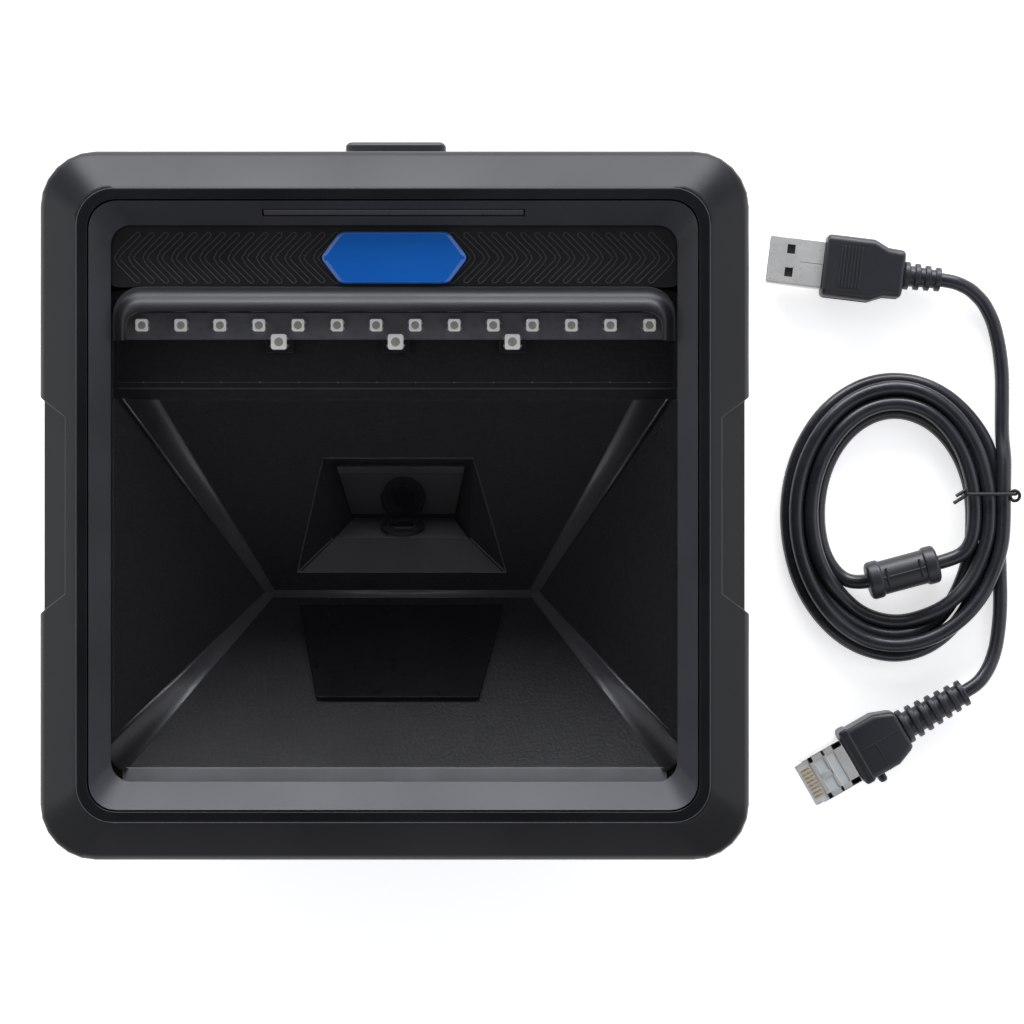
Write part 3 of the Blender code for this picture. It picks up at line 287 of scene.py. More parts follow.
def gloss(name, colour, roughness, other, coat=0.6, ripple=0.02 * MM, shine=0.5, painted_glow=0.0,
          metallic=0.0):
    """Polished, lacquered, printed or silvered plastic; painted_glow is emission, painted light
    that brightens a part that is no lamp.
    """
    tree = Tree(name, colour, roughness, metallic)
    tree.tint(tree.remap(tree.noise(55.0, 3.0), 0.0, 1.0), other)
    tree.rough(tree.noise(420.0, 4.0), max(0.02, roughness - 0.04), roughness + 0.06)
    tree.bump(tree.noise(300.0, 2.0), 0.05, ripple)
    tree.set(Coat_Weight=coat, Coat_Roughness=0.04, Specular_IOR_Level=shine)
    tree.set(Emission_Color=(1.0, 1.0, 1.0, 1.0), Emission_Strength=painted_glow)


def clear(name, tint, alpha_low, alpha_high, roughness=0.03):
    """A see-through pane with a faint haze of dust."""
    tree = Tree(name, tint, roughness)
    haze = tree.noise(90.0, 6.0)
    tree.link(tree.remap(haze, alpha_low, alpha_high), tree.shader.inputs["Alpha"])
    tree.rough(haze, roughness, roughness + 0.03)


def strip_board(name, colour, trace, edge):
    """A grey light board whose tabs, in front of a line across it, are masked black."""
    tree = Tree(name, (0.006, 0.006, 0.007), 0.35)
    tracks = tree.mix(tree.remap(tree.cells(420.0), 0.0, 1.0, 0.1, 0.5), colour, trace)
    masked = tree.tint(tree.remap(tree.along("Y"), 0.0, 1.0, edge - 0.1 * MM, edge), colour)
    tree.link(tracks.outputs["Result"], masked.inputs["B"])
    tree.rough(tree.noise(200.0, 3.0), 0.3, 0.42)


def circuit(name, colour, trace):
    """Solder resist over faint copper tracks."""
    tree = Tree(name, colour, 0.35)
    tree.tint(tree.remap(tree.cells(420.0), 0.0, 1.0, 0.1, 0.5), trace)
    tree.rough(tree.noise(200.0, 3.0), 0.3, 0.42)
    tree.bump(tree.cells(420.0), 0.2, 0.03 * MM)


moulded("housing_black", (0.0042, 0.0046, 0.0056), 0.36, shine=0.29)
# bezel_black is a paler copy of the housing's black; the extra lightness is painted light on the
# bezel's slopes.
moulded("bezel_black", (0.0280, 0.0286, 0.0325), 0.42, 2200.0, shine=0.33)
moulded("panel_black", (0.0030, 0.0030, 0.0034), 0.40, 3000.0, 0.015 * MM, 0.2)
chamber_finish("chamber_black", (0.0044, 0.0044, 0.0050))
clear("window_glass", (0.012, 0.012, 0.013), 0.05, 0.10)
gloss("mirror_dark", (0.0025, 0.0025, 0.003), 0.30, (0.004, 0.004, 0.0045), 0.0, shine=0.12)
gloss("badge_blue", (0.006, 0.10, 0.42), 0.16, (0.007, 0.11, 0.44), 0.8, 0.004 * MM)
gloss("light_bar", (0.050, 0.051, 0.056), 0.30, (0.062, 0.064, 0.070), 0.2)
rubber("rubber_black", (0.014, 0.014, 0.015))
metal("steel", (0.50, 0.50, 0.52), 0.28, 0.8)
metal("jack_shield", (0.60, 0.60, 0.58), 0.32)
circuit("circuit_board", (0.010, 0.055, 0.028), (0.02, 0.09, 0.04))
strip_board("led_board", (0.120, 0.120, 0.130), (0.145, 0.145, 0.156), LED_STRIP_EDGE)
# The LED bodies glow a little though the LEDs are off: painted light on their white.
gloss("led_body", (0.92, 0.92, 0.89), 0.35, (0.97, 0.97, 0.95), 0.1, painted_glow=0.16)
gloss("lens_black", (0.004, 0.004, 0.005), 0.55, (0.006, 0.006, 0.007), 0.0)
gloss("lens_glass", (0.006, 0.005, 0.012), 0.10, (0.008, 0.006, 0.016), 0.0, shine=0.25)
moulded("connector_black", (0.020, 0.021, 0.025), 0.42, 1500.0)
jacket("cord_black", (0.016, 0.017, 0.021), 0.28)
jacket("tie_black", (0.008, 0.008, 0.009), 0.4)
metal("plug_metal", (0.80, 0.79, 0.76), 0.34, 0.45)
gloss("plug_clear", (0.55, 0.57, 0.57), 0.12, (0.66, 0.68, 0.68), 0.6)
gloss("insulator_white", (0.70, 0.71, 0.70), 0.35, (0.62, 0.62, 0.60))
moulded("hood_black", (0.0090, 0.0092, 0.0105), 0.36, 2200.0, shine=0.42)
# The corners' finish: its paler colour, strongest low down, is a painted highlight.
fillet_highlight_finish("fillet_grey", (0.010, 0.010, 0.012), (0.080, 0.080, 0.086))
# sill_grey: the sill's pale grey, also used for the LED row's painted reflected pips and the
# painted light on the lens wall.
moulded("sill_grey", (0.140, 0.140, 0.146), 0.45, 2400.0)
# shelf_grey: the shelf plate's grey, also used for the painted highlight on the frame's lip and
# the ledge's painted lines.
moulded("shelf_grey", (0.055, 0.055, 0.058), 0.50, 2400.0, shine=0.3)
gloss("mirror", (0.56, 0.56, 0.57), 0.03, (0.60, 0.60, 0.61), 0.0, metallic=1.0)
metal("gold", (0.75, 0.52, 0.22), 0.25, 0.6)
gloss("phosphor", (0.44, 0.44, 0.37), 0.25, (0.54, 0.54, 0.47), 0.8)


# ---------------- mesh helpers
WELD = 0.01 * MM
FLAT_ANGLE = math.radians(0.8)
EDGE_ANGLE = math.radians(28.0)


def in_mm(points):
    """Points given in millimetres, as vectors in metres."""
    return [Vector(point) * MM for point in points]


def object_from(name, bm, slot, body=SCANNER):
    """The mesh as an object with the slot's material, carried by the body if there is one."""
    mesh = bpy.data.meshes.new(name)
    bm.normal_update()
    bm.to_mesh(mesh)
    bm.free()
    if "custom_normal" in mesh.attributes:
        mesh.attributes.remove(mesh.attributes["custom_normal"])
    piece = bpy.data.objects.new(name, mesh)
    bpy.context.collection.objects.link(piece)
    mesh.materials.clear()
    mesh.materials.append(MATERIALS[slot])
    if body:
        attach(piece, body)
    return piece


def round_edges(piece, width, segments=3):
    """Rounded edges and smooth shading; flat faces stay flat."""
    for polygon in piece.data.polygons:
        polygon.use_smooth = True
    bevel = piece.modifiers.new("rounding", "BEVEL")
    bevel.width = width
    bevel.segments = segments
    bevel.limit_method = "ANGLE"
    bevel.angle_limit = EDGE_ANGLE
    bevel.miter_outer = "MITER_ARC"
    weigh = piece.modifiers.new("flat faces", "WEIGHTED_NORMAL")
    weigh.keep_sharp = True
    return piece


def body_of(node):
    """The name of the body that carries a CAD node."""
    return next(name for name, empty in frame["bodies"].items()
                if empty is NODES[node].parent)


def stand_for(piece, node):
    """Lets the piece replace a CAD node by hiding the node."""
    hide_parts(node)
    return piece


def refined(node, width, segments=3, flat=True):
    """A visual piece with the CAD node's shape, welded, and with rounded edges."""
    bm = bmesh.new()
    bm.from_mesh(NODES[node].data)
    bmesh.ops.remove_doubles(bm, verts=bm.verts, dist=WELD)
    if flat:
        bmesh.ops.dissolve_limit(bm, angle_limit=FLAT_ANGLE, verts=bm.verts, edges=bm.edges)
    piece = object_from(f"{node}_skin", bm, SLOTS[node], body_of(node))
    return round_edges(stand_for(piece, node), width, segments)


def superellipse(half_x, half_y, z, power=10.0, steps=32, trim=0.0):
    """A ring between a circle (power 2) and a square, its (-X, -Y) corner cut by trim."""
    ring = []
    for step in range(steps):
        angle = 2 * math.pi * (step + 0.5) / steps
        x, y = math.cos(angle), math.sin(angle)
        size = (abs(x) ** power + abs(y) ** power) ** (-1 / power)
        x, y = x * size, y * size
        over = max(0.0, -(x + y) - (2.0 - trim)) / 2
        ring.append(Vector(((x + over) * half_x, (y + over) * half_y, z)))
    return ring


def turned(bm, profile, steps=40):
    """A closed solid turned about Z from (radius, height) pairs, listed from the bottom up."""
    loft(bm, [superellipse(radius, radius, height, 2.0, steps) for radius, height in profile])


def add_box(bm, low, high, unit=1.0):
    """A box between two corners, added to the mesh."""
    low, high = Vector(low) * unit, Vector(high) * unit
    shape = Matrix.Translation((low + high) / 2) @ Matrix.Diagonal((*(high - low), 1.0))
    bmesh.ops.create_cube(bm, size=1.0, matrix=shape)


def carve(piece, cutter_bm):
    """Cuts a closed mesh out of the piece, and leaves no modifier or cutter behind."""
    mesh = bpy.data.meshes.new("cutter")
    cutter_bm.to_mesh(mesh)
    cutter_bm.free()
    cutter = bpy.data.objects.new("cutter", mesh)
    bpy.context.collection.objects.link(cutter)
    for modifier in piece.modifiers:
        modifier.show_viewport = False
    cut = piece.modifiers.new("carve", "BOOLEAN")
    cut.object = cutter
    cut.solver = "EXACT"
    bpy.context.view_layer.update()
    graph = bpy.context.evaluated_depsgraph_get()
    carved = bpy.data.meshes.new_from_object(piece.evaluated_get(graph))
    piece.modifiers.remove(cut)
    piece.data = carved
    for modifier in piece.modifiers:
        modifier.show_viewport = True
    bpy.data.objects.remove(cutter)
    return piece


def loft(bm, rings, cap_start=True):
    """Faces between rings that have the same number of points."""
    rows = [[bm.verts.new(point) for point in ring] for ring in rings]
    count = len(rows[0])
    for first, second in zip(rows, rows[1:]):
        for i in range(count):
            j = (i + 1) % count
            bm.faces.new((first[i], first[j], second[j], second[i]))
    if cap_start:
        bm.faces.new(list(reversed(rows[0])))
    bm.faces.new(rows[-1])


def curve_object(name, kind, runs, radius, resolution, material, **settings):
    """A round curve along runs of points, riding on the scanner."""
    data = bpy.data.curves.new(name, "CURVE")
    data.dimensions = "3D"
    data.bevel_depth = radius
    data.bevel_resolution = resolution
    data.use_fill_caps = True
    for run in runs:
        spline = data.splines.new(kind)
        spline.points.add(len(run) - 1)
        for point, place in zip(spline.points, run):
            point.co = (*place, 1.0)
        spline.use_smooth = True
        for key, value in settings.items():
            setattr(spline, key, value)
    data.materials.append(MATERIALS[material])
    piece = bpy.data.objects.new(name, data)
    bpy.context.collection.objects.link(piece)
    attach(piece, SCANNER)
    return piece


def wire(name, runs, radius, slot, material=None, cyclic=False):
    """Wires or raised lines along runs of points, as one piece."""
    piece = curve_object(name, "POLY", runs, radius, 3, material or slot, use_cyclic_u=cyclic)
    return piece


# ---------------- the cord
ORIGIN_Y = -1.4 * MM             # from the cable's own coordinates to the frame's
CORD_DIAMETER = 3.6 * MM
COIL_OUTER = (29.0 * MM, 36.0 * MM)
USB_TAIL = [                      # from the plug's strain relief to the coil, in mm
    (134.3, 56.66, 4.3), (137.2, 56.25, 4.25), (141.1, 54.7, 3.6), (144.8, 51.4, 2.65),
    (147.4, 46.6, 2), (149, 40.5, 1.85), (149.8, 33.5, 1.85), (149.9, 26, 1.85),
    (149.5, 18.8, 1.85),
]
RJ_TAIL = [
    (140.45, -46.1, 5), (142.8, -44.74, 4.9), (145.3, -42, 4), (147.3, -38, 2.9),
    (148.6, -33.2, 2.1), (149.2, -28, 1.85), (149.35, -22.5, 1.85),
]
FERRITE_ANGLE = math.radians(15.0)
# How far inside the outermost lane each turn lies, in cord diameters, and its layer,
# at the right, top, left and bottom of the coil
LANES = [
    ((0.0, 0), (0.05, 0), (0.0, 0), (-0.35, 0)),
    ((1.05, 0), (1.15, 0), (1.05, 0), (0.95, 0)),
    ((2.1, 0), (2.25, 0), (2.1, 0), (2.0, 0)),
    ((2.1, 1), (1.7, 1), (1.6, 1), (1.9, 0)),
    ((1.05, 1), (0.65, 1), (0.55, 1), (0.3, 1)),
    ((0.0, 1),),
]
STEPS_PER_TURN = 64
CORD_SPACING = 2.4 * MM          # between the points of the cord's line
RJ_HELD, USB_HELD = 8, 10        # points at each end that stay where they are


def in_world(points):
    """Points in the cable's own coordinates and millimetres, brought into the frame."""
    return [Vector((x * MM, y * MM + ORIGIN_Y, z * MM)) for x, y, z in points]


def eased(values, place):
    """A smooth value between stations a quarter turn apart."""
    index = min(int(place), len(values) - 2)
    part = place - index
    part = part * part * (3 - 2 * part)
    return values[index] * (1 - part) + values[index + 1] * part


def coil_points():
    """The planned line of the turns, from the right side round and back to it."""
    centre = middle("cord_coil")
    half_x = COIL_OUTER[0] - CORD_DIAMETER / 2
    half_y = COIL_OUTER[1] - CORD_DIAMETER / 2
    stations = [station for turn in LANES for station in turn]
    insets = [station[0] * CORD_DIAMETER for station in stations]
    layers = [station[1] for station in stations]
    points = []
    turns = len(LANES) - 1
    for step in range(turns * STEPS_PER_TURN + 1):
        angle = 2 * math.pi * step / STEPS_PER_TURN
        quarter = 4 * step / STEPS_PER_TURN
        inset = eased(insets, quarter)
        z = CORD_DIAMETER * (0.5 + 0.97 * eased(layers, quarter))
        points.append(Vector((centre.x + (half_x - inset) * math.cos(angle),
                              centre.y + (half_y - inset) * math.sin(angle), z)))
    return points


FERRITE_TURN = 2
FERRITE_WINDOW = (0.53, 0.965)   # shares of that turn where the cord leaves and rejoins it
FERRITE_REACH = 10.5 * MM        # half of the straight stretch through the core
FERRITE_HELD = 9.5 * MM          # half of the stretch that the core holds
BRIDGE_STEPS = 14


def with_ferrite(points):
    """Takes one turn's lower part out of the bundle and through the ferrite core."""
    centre = middle("ferrite")
    along = Vector((math.cos(FERRITE_ANGLE), math.sin(FERRITE_ANGLE), 0))
    first = int((FERRITE_TURN + FERRITE_WINDOW[0]) * STEPS_PER_TURN)
    last = int((FERRITE_TURN + FERRITE_WINDOW[1]) * STEPS_PER_TURN)
    start, end = points[first], points[last]
    start_way = (points[first] - points[first - 1]).normalized()
    end_way = (points[last + 1] - points[last]).normalized()
    reach = along * FERRITE_REACH
    line = bridge(start, start_way, centre - reach, along)
    line += [centre + reach * share for share in (-0.75, -0.45, -0.15, 0.15, 0.45, 0.75)]
    line += bridge(centre + reach, along, end, end_way)
    return points[:first] + line + points[last:]


def bridge(start, start_way, end, end_way):
    """A cubic Hermite stretch between two points with given directions."""
    size = 1.15 * (end - start).length
    places = [step / (BRIDGE_STEPS - 1) for step in range(BRIDGE_STEPS)]
    return [start * (2 * t ** 3 - 3 * t ** 2 + 1) + start_way * size * (t ** 3 - 2 * t ** 2 + t)
            + end * (3 * t ** 2 - 2 * t ** 3) + end_way * size * (t ** 3 - t ** 2)
            for t in places]


def resample(points, spacing):
    """The same line with points an even distance apart."""
    line = np.array(points)
    steps = np.linalg.norm(np.diff(line, axis=0), axis=1)
    places = np.concatenate(([0.0], np.cumsum(steps)))
    count = int(round(places[-1] / spacing))
    wanted = np.linspace(0.0, places[-1], count + 1)
    return np.stack([np.interp(wanted, places, line[:, k]) for k in range(3)], axis=1)


def settle(line, held, rounds=160):
    """Lets the cord lie down: strands push apart to a diameter, and nothing sinks in the table."""
    plan = line.copy()
    index = np.arange(len(line))
    apart = np.abs(index[:, None] - index[None, :]) > 6
    for _ in range(rounds):
        offset = line[:, None, :] - line[None, :, :]
        distance = np.linalg.norm(offset, axis=2)
        lack = np.where(apart, np.clip(CORD_DIAMETER - distance, 0.0, None), 0.0)
        push = (offset / np.maximum(distance, 1e-6)[:, :, None] * lack[:, :, None]).sum(axis=1)
        near = np.maximum((lack > 0).sum(axis=1), 1)[:, None]
        move = 0.5 * push / near
        smooth = np.zeros_like(line)
        smooth[1:-1] = 0.5 * (line[:-2] + line[2:]) - line[1:-1]
        move += 0.12 * smooth
        move[:, :2] += 0.1 * (plan[:, :2] - line[:, :2])
        move[:, 2] -= 0.02 * MM
        move[held] = 0.0
        line = line + move
        line[:, 2] = np.maximum(line[:, 2], TABLE_Z + CORD_DIAMETER / 2)
    return line


def into_relief(points, reach=2.0 * MM):
    """Starts the line a little further back, inside the strain relief it comes out of."""
    back = (points[0] - points[1]).normalized()
    return [points[0] + back * reach] + points


def make_cord():
    """The whole cord as one curve, and the points of its line."""
    start = into_relief(in_world(RJ_TAIL))
    end = list(reversed(into_relief(in_world(USB_TAIL))))
    turns = with_ferrite(coil_points())
    line = resample(start + turns[4:-2] + end[2:], CORD_SPACING)
    held = np.linalg.norm(line - np.array(middle("ferrite")), axis=1) < FERRITE_HELD
    held[:RJ_HELD] = True
    held[-USB_HELD:] = True
    line = settle(line, held)
    cord = curve_object("cord", "NURBS", [line], CORD_DIAMETER / 2, 5, "cord_black",
                        order_u=4, use_endpoint_u=True, resolution_u=3)
    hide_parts("cord_coil", "cord_rj45_tail", "cord_usb_tail")
    return cord, line


cord, cord_line = make_cord()


# ---------------- floor and light
FLOOR_REACH = 30.0
FLOOR_DROP = 0.05 * MM
FLOOR_GLOW = 0.6


def make_floor():
    """A white paper floor just under the scanner."""
    tree = Tree("floor_paper", (0.92, 0.92, 0.92), 0.9)
    tree.tint(tree.remap(tree.noise(6.0, 3.0), 0.0, 1.0), (0.94, 0.94, 0.94))
    tree.set(Emission_Color=(1.0, 1.0, 1.0, 1.0), Emission_Strength=FLOOR_GLOW)
    bm = bmesh.new()
    bmesh.ops.create_grid(bm, x_segments=1, y_segments=1, size=FLOOR_REACH)
    floor = object_from("floor", bm, "floor_paper", None)
    floor.location.z = TABLE_Z - FLOOR_DROP


LIGHT_COLOUR = (0.93, 0.96, 1.0)
LIGHTS = [                        # name, place and size in metres, and power
    ("soft_back", (0.0, 1.25, 0.42), (1.6, 0.6), 29.0),
    ("soft_left", (-1.3, 0.1, 0.42), (1.0, 0.5), 2.2),
    ("soft_right", (1.3, 0.1, 0.42), (1.0, 0.5), 1.6),
]


def area_light(name, place, size, power):
    """A rectangular light that looks at the scanner."""
    data = bpy.data.lights.new(name, "AREA")
    data.color = LIGHT_COLOUR
    data.shape = "RECTANGLE"
    data.size, data.size_y = size
    data.energy = power
    light = bpy.data.objects.new(name, data)
    light.location = place
    aim = SCANNER_CENTRE - Vector(place)
    light.rotation_euler = aim.to_track_quat("-Z", "Y").to_euler()
    bpy.context.collection.objects.link(light)


WORLD_BANDS = [                   # height of the direction looked in, and its brightness
    (0.0, 0.08), (0.22, 0.10), (0.48, 0.62), (0.72, 0.80), (0.86, 0.08), (1.0, 0.02),
]
WORLD_STRENGTH = 1.5


def make_world():
    """A light tent: bright half-way up, dim near the table and dark round the camera."""
    world = bpy.data.worlds.new("studio")
    world.use_nodes = True
    tree = world.node_tree
    back = tree.nodes["Background"]
    place = tree.nodes.new("ShaderNodeTexCoord")
    split = tree.nodes.new("ShaderNodeSeparateXYZ")
    ramp = tree.nodes.new("ShaderNodeValToRGB")
    stops = ramp.color_ramp.elements
    while len(stops) < len(WORLD_BANDS):
        stops.new(0.5)
    for stop, (height, level) in zip(stops, WORLD_BANDS):
        stop.position = height
        stop.color = (0.96 * level, 0.98 * level, 1.04 * level, 1.0)
    tree.links.new(place.outputs["Generated"], split.inputs[0])
    tree.links.new(split.outputs["Z"], ramp.inputs["Fac"])
    tree.links.new(ramp.outputs["Color"], back.inputs["Color"])
    back.inputs["Strength"].default_value = WORLD_STRENGTH
    bpy.context.scene.world = world


make_floor()
make_world()
for light in LIGHTS:
    area_light(*light)
bpy.context.scene.view_settings.view_transform = "Standard"


# ---------------- skins of the CAD nodes
ROUNDINGS = {                     # width in mm and segments of each node's edge rounding
    "front_frame": (0.35, 3), "window_bezel": (0.3, 3), "status_light_bar": (0.2, 2),
    "window_glass": (0.15, 2), "trim_panel": (0.15, 2), "window_gasket": (0.1, 2),
    "led_hood": (0.12, 2), "badge": (0.5, 4), "fold_mirror": (0.03, 1),
    "lower_mirror": (0.25, 2), "camera_board": (0.1, 2), "led_board": (0.1, 2),
    "rear_housing": (0.6, 3), "base_cover": (0.4, 3), "main_board": (0.1, 2),
    "rj45_jack": (0.15, 2), "top_button": (0.7, 4), "button_switch": (0.15, 2),
    "switch_plunger": (0.15, 2), "switch_board": (0.1, 2), "rj45_latch": (0.12, 2),
    "rj45_boot": (0.7, 3), "rj45_relief": (0.3, 3), "usb_shell": (0.12, 2),
    "usb_overmold": (0.8, 3), "usb_relief": (0.3, 3), "twist_tie": (0.05, 1),
    **{f"foot_{i}": (0.6, 3) for i in range(1, 5)},
}
skins = {node: refined(node, width * MM, segments)
         for node, (width, segments) in ROUNDINGS.items()}
skins["optics_chamber"] = refined("optics_chamber", 1.0 * MM, 4, flat=False)
skins["fold_mirror"].data.materials[0] = MATERIALS["mirror"]
skins["led_hood"].data.materials[0] = MATERIALS["hood_black"]


# ---------------- light-emitting diodes
LED_KINDS = {                     # share of the package that its cavity takes, and corner cut
    "led_white": (0.74, 0.25), "led_aim": (0.66, 0.0),
}


def led_package(node, cavity, trim):
    """A white moulded package, one corner cut, with a round cavity under a clear dome."""
    low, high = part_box(node)
    half = (high.x - low.x) / 2
    height = high.z - low.z
    bm = bmesh.new()
    rings = [superellipse(half, half, 0.0, trim=trim),
             superellipse(half, half, height - 0.15 * MM, trim=trim),
             superellipse(half - 0.12 * MM, half - 0.12 * MM, height, trim=trim),
             superellipse(cavity * half, cavity * half, height, 2.0),
             superellipse(0.82 * cavity * half, 0.82 * cavity * half, 0.55 * height, 2.0)]
    loft(bm, rings)
    walls = len(bm.faces)
    rings = [superellipse(share * cavity * half, share * cavity * half, z * height, 2.0)
             for share, z in ((0.9, 0.72), (0.7, 0.80), (0.35, 0.86))]
    loft(bm, rings, cap_start=False)
    bm.transform(underside(node))
    piece = object_from(f"{node}_package", bm, "led_body", body_of(node))
    piece.data.materials.append(MATERIALS["phosphor"])
    for polygon in piece.data.polygons:
        polygon.use_smooth = polygon.index >= walls
        polygon.material_index = int(polygon.use_smooth)
    return stand_for(piece, node)


def led_feet(node):
    """The package's solder joints on the board, two on each of its X sides."""
    low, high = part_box(node)
    bm = bmesh.new()
    for x in (low.x, high.x):
        for y in (low.y * 0.75 + high.y * 0.25, low.y * 0.25 + high.y * 0.75):
            add_box(bm, (x - 0.35 * MM, y - 0.3 * MM, low.z - 0.25 * MM),
                    (x + 0.35 * MM, y + 0.3 * MM, low.z + 0.15 * MM))
    joints = object_from(f"{node}_solder", bm, "steel", body_of(node))
    return round_edges(joints, 0.08 * MM, 2)


for node in sorted(NODES):
    for kind, shape in LED_KINDS.items():
        if node.startswith(kind):
            led_package(node, *shape)
            led_feet(node)


# ---------------- the scanner's camera
LENS_LOOKS = (0.93, 0.36)         # the lens axis in the Y-Z plane
LENS_RINGS = [                    # radius and height along the axis in mm
    (4.0, -7.5), (4.0, -0.6), (5.4, -0.6), (5.4, 0.15), (5.15, 0.3), (4.5, 0.3), (4.35, 0.1),
    (4.1, 0.1), (3.95, 0.3), (3.6, 0.3), (3.45, 0.1), (3.25, 0.1), (3.1, 0.25), (2.75, 0.25),
    (2.7, -0.4),
]
LENS_DOME = [
    (2.65, -0.3), (2.65, -0.05), (2.3, 0.1), (1.7, 0.22), (1.0, 0.3), (0.3, 0.33),
]


def make_lens():
    """The barrel's stepped front rings and the domed front element, on the lens axis."""
    turn = Vector((0, *LENS_LOOKS)).to_track_quat("Z", "Y").to_matrix().to_4x4()
    place = Matrix.Translation(middle("lens_front_glass")) @ turn
    for name, profile, slot, node, width, segments in (
            ("lens_barrel_rings", LENS_RINGS, "lens_black", "lens_barrel", 0.05, 2),
            ("lens_front_element", LENS_DOME, "lens_glass", "lens_front_glass", 0.03, 1)):
        bm = bmesh.new()
        turned(bm, in_mm(profile))
        bm.transform(place)
        round_edges(stand_for(object_from(name, bm, slot), node), width * MM, segments)


make_lens()


# ---------------- ledge, rims, fillets, plates and sill inside; the ledge lines, lip and port rims, fillets and lens wall plate carry painted light
def rounded_ring(centre_y, half_x, half_y, radius, z, steps=8):
    """A level rectangle with round corners, centred on X = 0."""
    ring = []
    for quarter in range(4):
        start = quarter * math.pi / 2
        side_x, side_y = (1, -1, -1, 1)[quarter], (1, 1, -1, -1)[quarter]
        for step in range(steps + 1):
            angle = start + math.pi / 2 * step / steps
            ring.append(Vector((side_x * (half_x - radius) + radius * math.cos(angle),
                                centre_y + side_y * (half_y - radius)
                                + radius * math.sin(angle), z)))
    return ring


LIP = (70.7 * MM, 70.7 * MM, 8.2 * MM)           # half-sizes and corner radius
OPENING = (63.8 * MM, 62.6 * MM, 4.4 * MM)
OPENING_Y, OPENING_Z = -0.9 * MM, 79.25 * MM


def make_rims():
    """A pale wire on the edge of the frame's land, a painted highlight, and a fine rim in the
    hood's black round the window's opening.
    """
    lip = rounded_ring(SCANNER_CENTRE.y, *LIP, FRAME_TOP - 0.1 * MM)
    wire("lip_highlight", [lip], 0.11 * MM, "housing_black", "shelf_grey", cyclic=True)
    opening = rounded_ring(OPENING_Y, *OPENING, OPENING_Z)
    wire("opening_rim", [opening], 0.1 * MM, "bezel_black", "hood_black", cyclic=True)


LEDGE_TOP = 68.0 * MM
LEDGE_REACH = 64.0 * MM
REFLECTED_PIP_Y = 26.8 * MM
# Pale lines over the ledge, painted light: the edge's highlight and the line of the LED row's
# reflection.
PAINTED_LEDGE_LINES = [("ledge_line", 25.4 * MM, 0.17 * MM), ("pip_line", REFLECTED_PIP_Y, 0.07 * MM)]


def make_ledge_reflection():
    """Pale lines along the ledge's front edge, and a pale pip on one of them under each white LED:
    a painted highlight on the edge and a painted reflection of the LED row.
    """
    for name, y, radius in PAINTED_LEDGE_LINES:
        line = [(-LEDGE_REACH, y, LEDGE_TOP), (LEDGE_REACH, y, LEDGE_TOP)]
        wire(name, [line], radius, "chamber_black", "shelf_grey")
    bm = bmesh.new()
    for node in sorted(NODES):
        if node.startswith("led_white"):
            place = Matrix.Translation((middle(node).x, REFLECTED_PIP_Y, LEDGE_TOP))
            bmesh.ops.create_uvsphere(bm, u_segments=12, v_segments=6, radius=0.18 * MM,
                                      matrix=place)
    pips = object_from("ledge_reflection_pips", bm, "sill_grey")


# Corners of the cavity on its +X side, in mm
LEDGE_CORNER = (57.6, 22.8, 68.0)
DEEP_CORNER = (31.4, -22.4, 30.0)
RIM_CORNER = (63.7, -60.5, 75.5)
PORT = [(25.1, -17.3, 34.3), (17.45, 9.7, 56.9)]
SHELF_CORNER = (16.5, -9.1, 34.1)
VEE_CORNER = (12.7, -4.4, 22.0)


def on_side(side, corner):
    """A corner of the cavity in metres, on the +X (1) or -X (-1) side."""
    x, y, z = corner
    return Vector((side * x, y, z)) * MM


FILLET_NARROW = (0.9 * MM, 1.8 * MM)     # reach up each wall at the deep end
FILLET_WIDE = (3.4 * MM, 5.8 * MM)       # and at the other end
FILLET_STEPS = 9
FILLET_ROOT = 0.3 * MM                   # how deep a fillet is set in its corner
FILLET_LIFT = 0.03 * MM
FILLET_PAST_LEDGE = 8.0 * MM


def square_to(line, other):
    """The part of a direction that is square to a line, as a unit vector."""
    return (other - line * other.dot(line)).normalized()


def add_fillet(bm, ends, reaches, toward_a, toward_b):
    """A concave corner fill, tangent to the two walls that meet on the line between its ends."""
    line = (ends[1] - ends[0]).normalized()
    a, b = square_to(line, toward_a), square_to(line, toward_b)
    rings = []
    for corner, (reach_a, reach_b) in zip(ends, reaches):
        ring = [corner - (a + b) * FILLET_ROOT]
        for step in range(FILLET_STEPS + 1):
            t = step / FILLET_STEPS
            bend = a * reach_a * (1 - t) ** 2 + b * reach_b * t ** 2
            ring.append(corner + bend + (a + b) * FILLET_LIFT)
        rings.append(ring)
    loft(bm, rings)


def trim_behind(bm, y):
    """Cuts off what lies beyond a distance back and closes the cut."""
    everything = bm.verts[:] + bm.edges[:] + bm.faces[:]
    bmesh.ops.bisect_plane(bm, geom=everything, plane_co=(0, y, 0), plane_no=(0, 1, 0),
                           clear_outer=True)
    bmesh.ops.holes_fill(bm, edges=[edge for edge in bm.edges if edge.is_boundary])


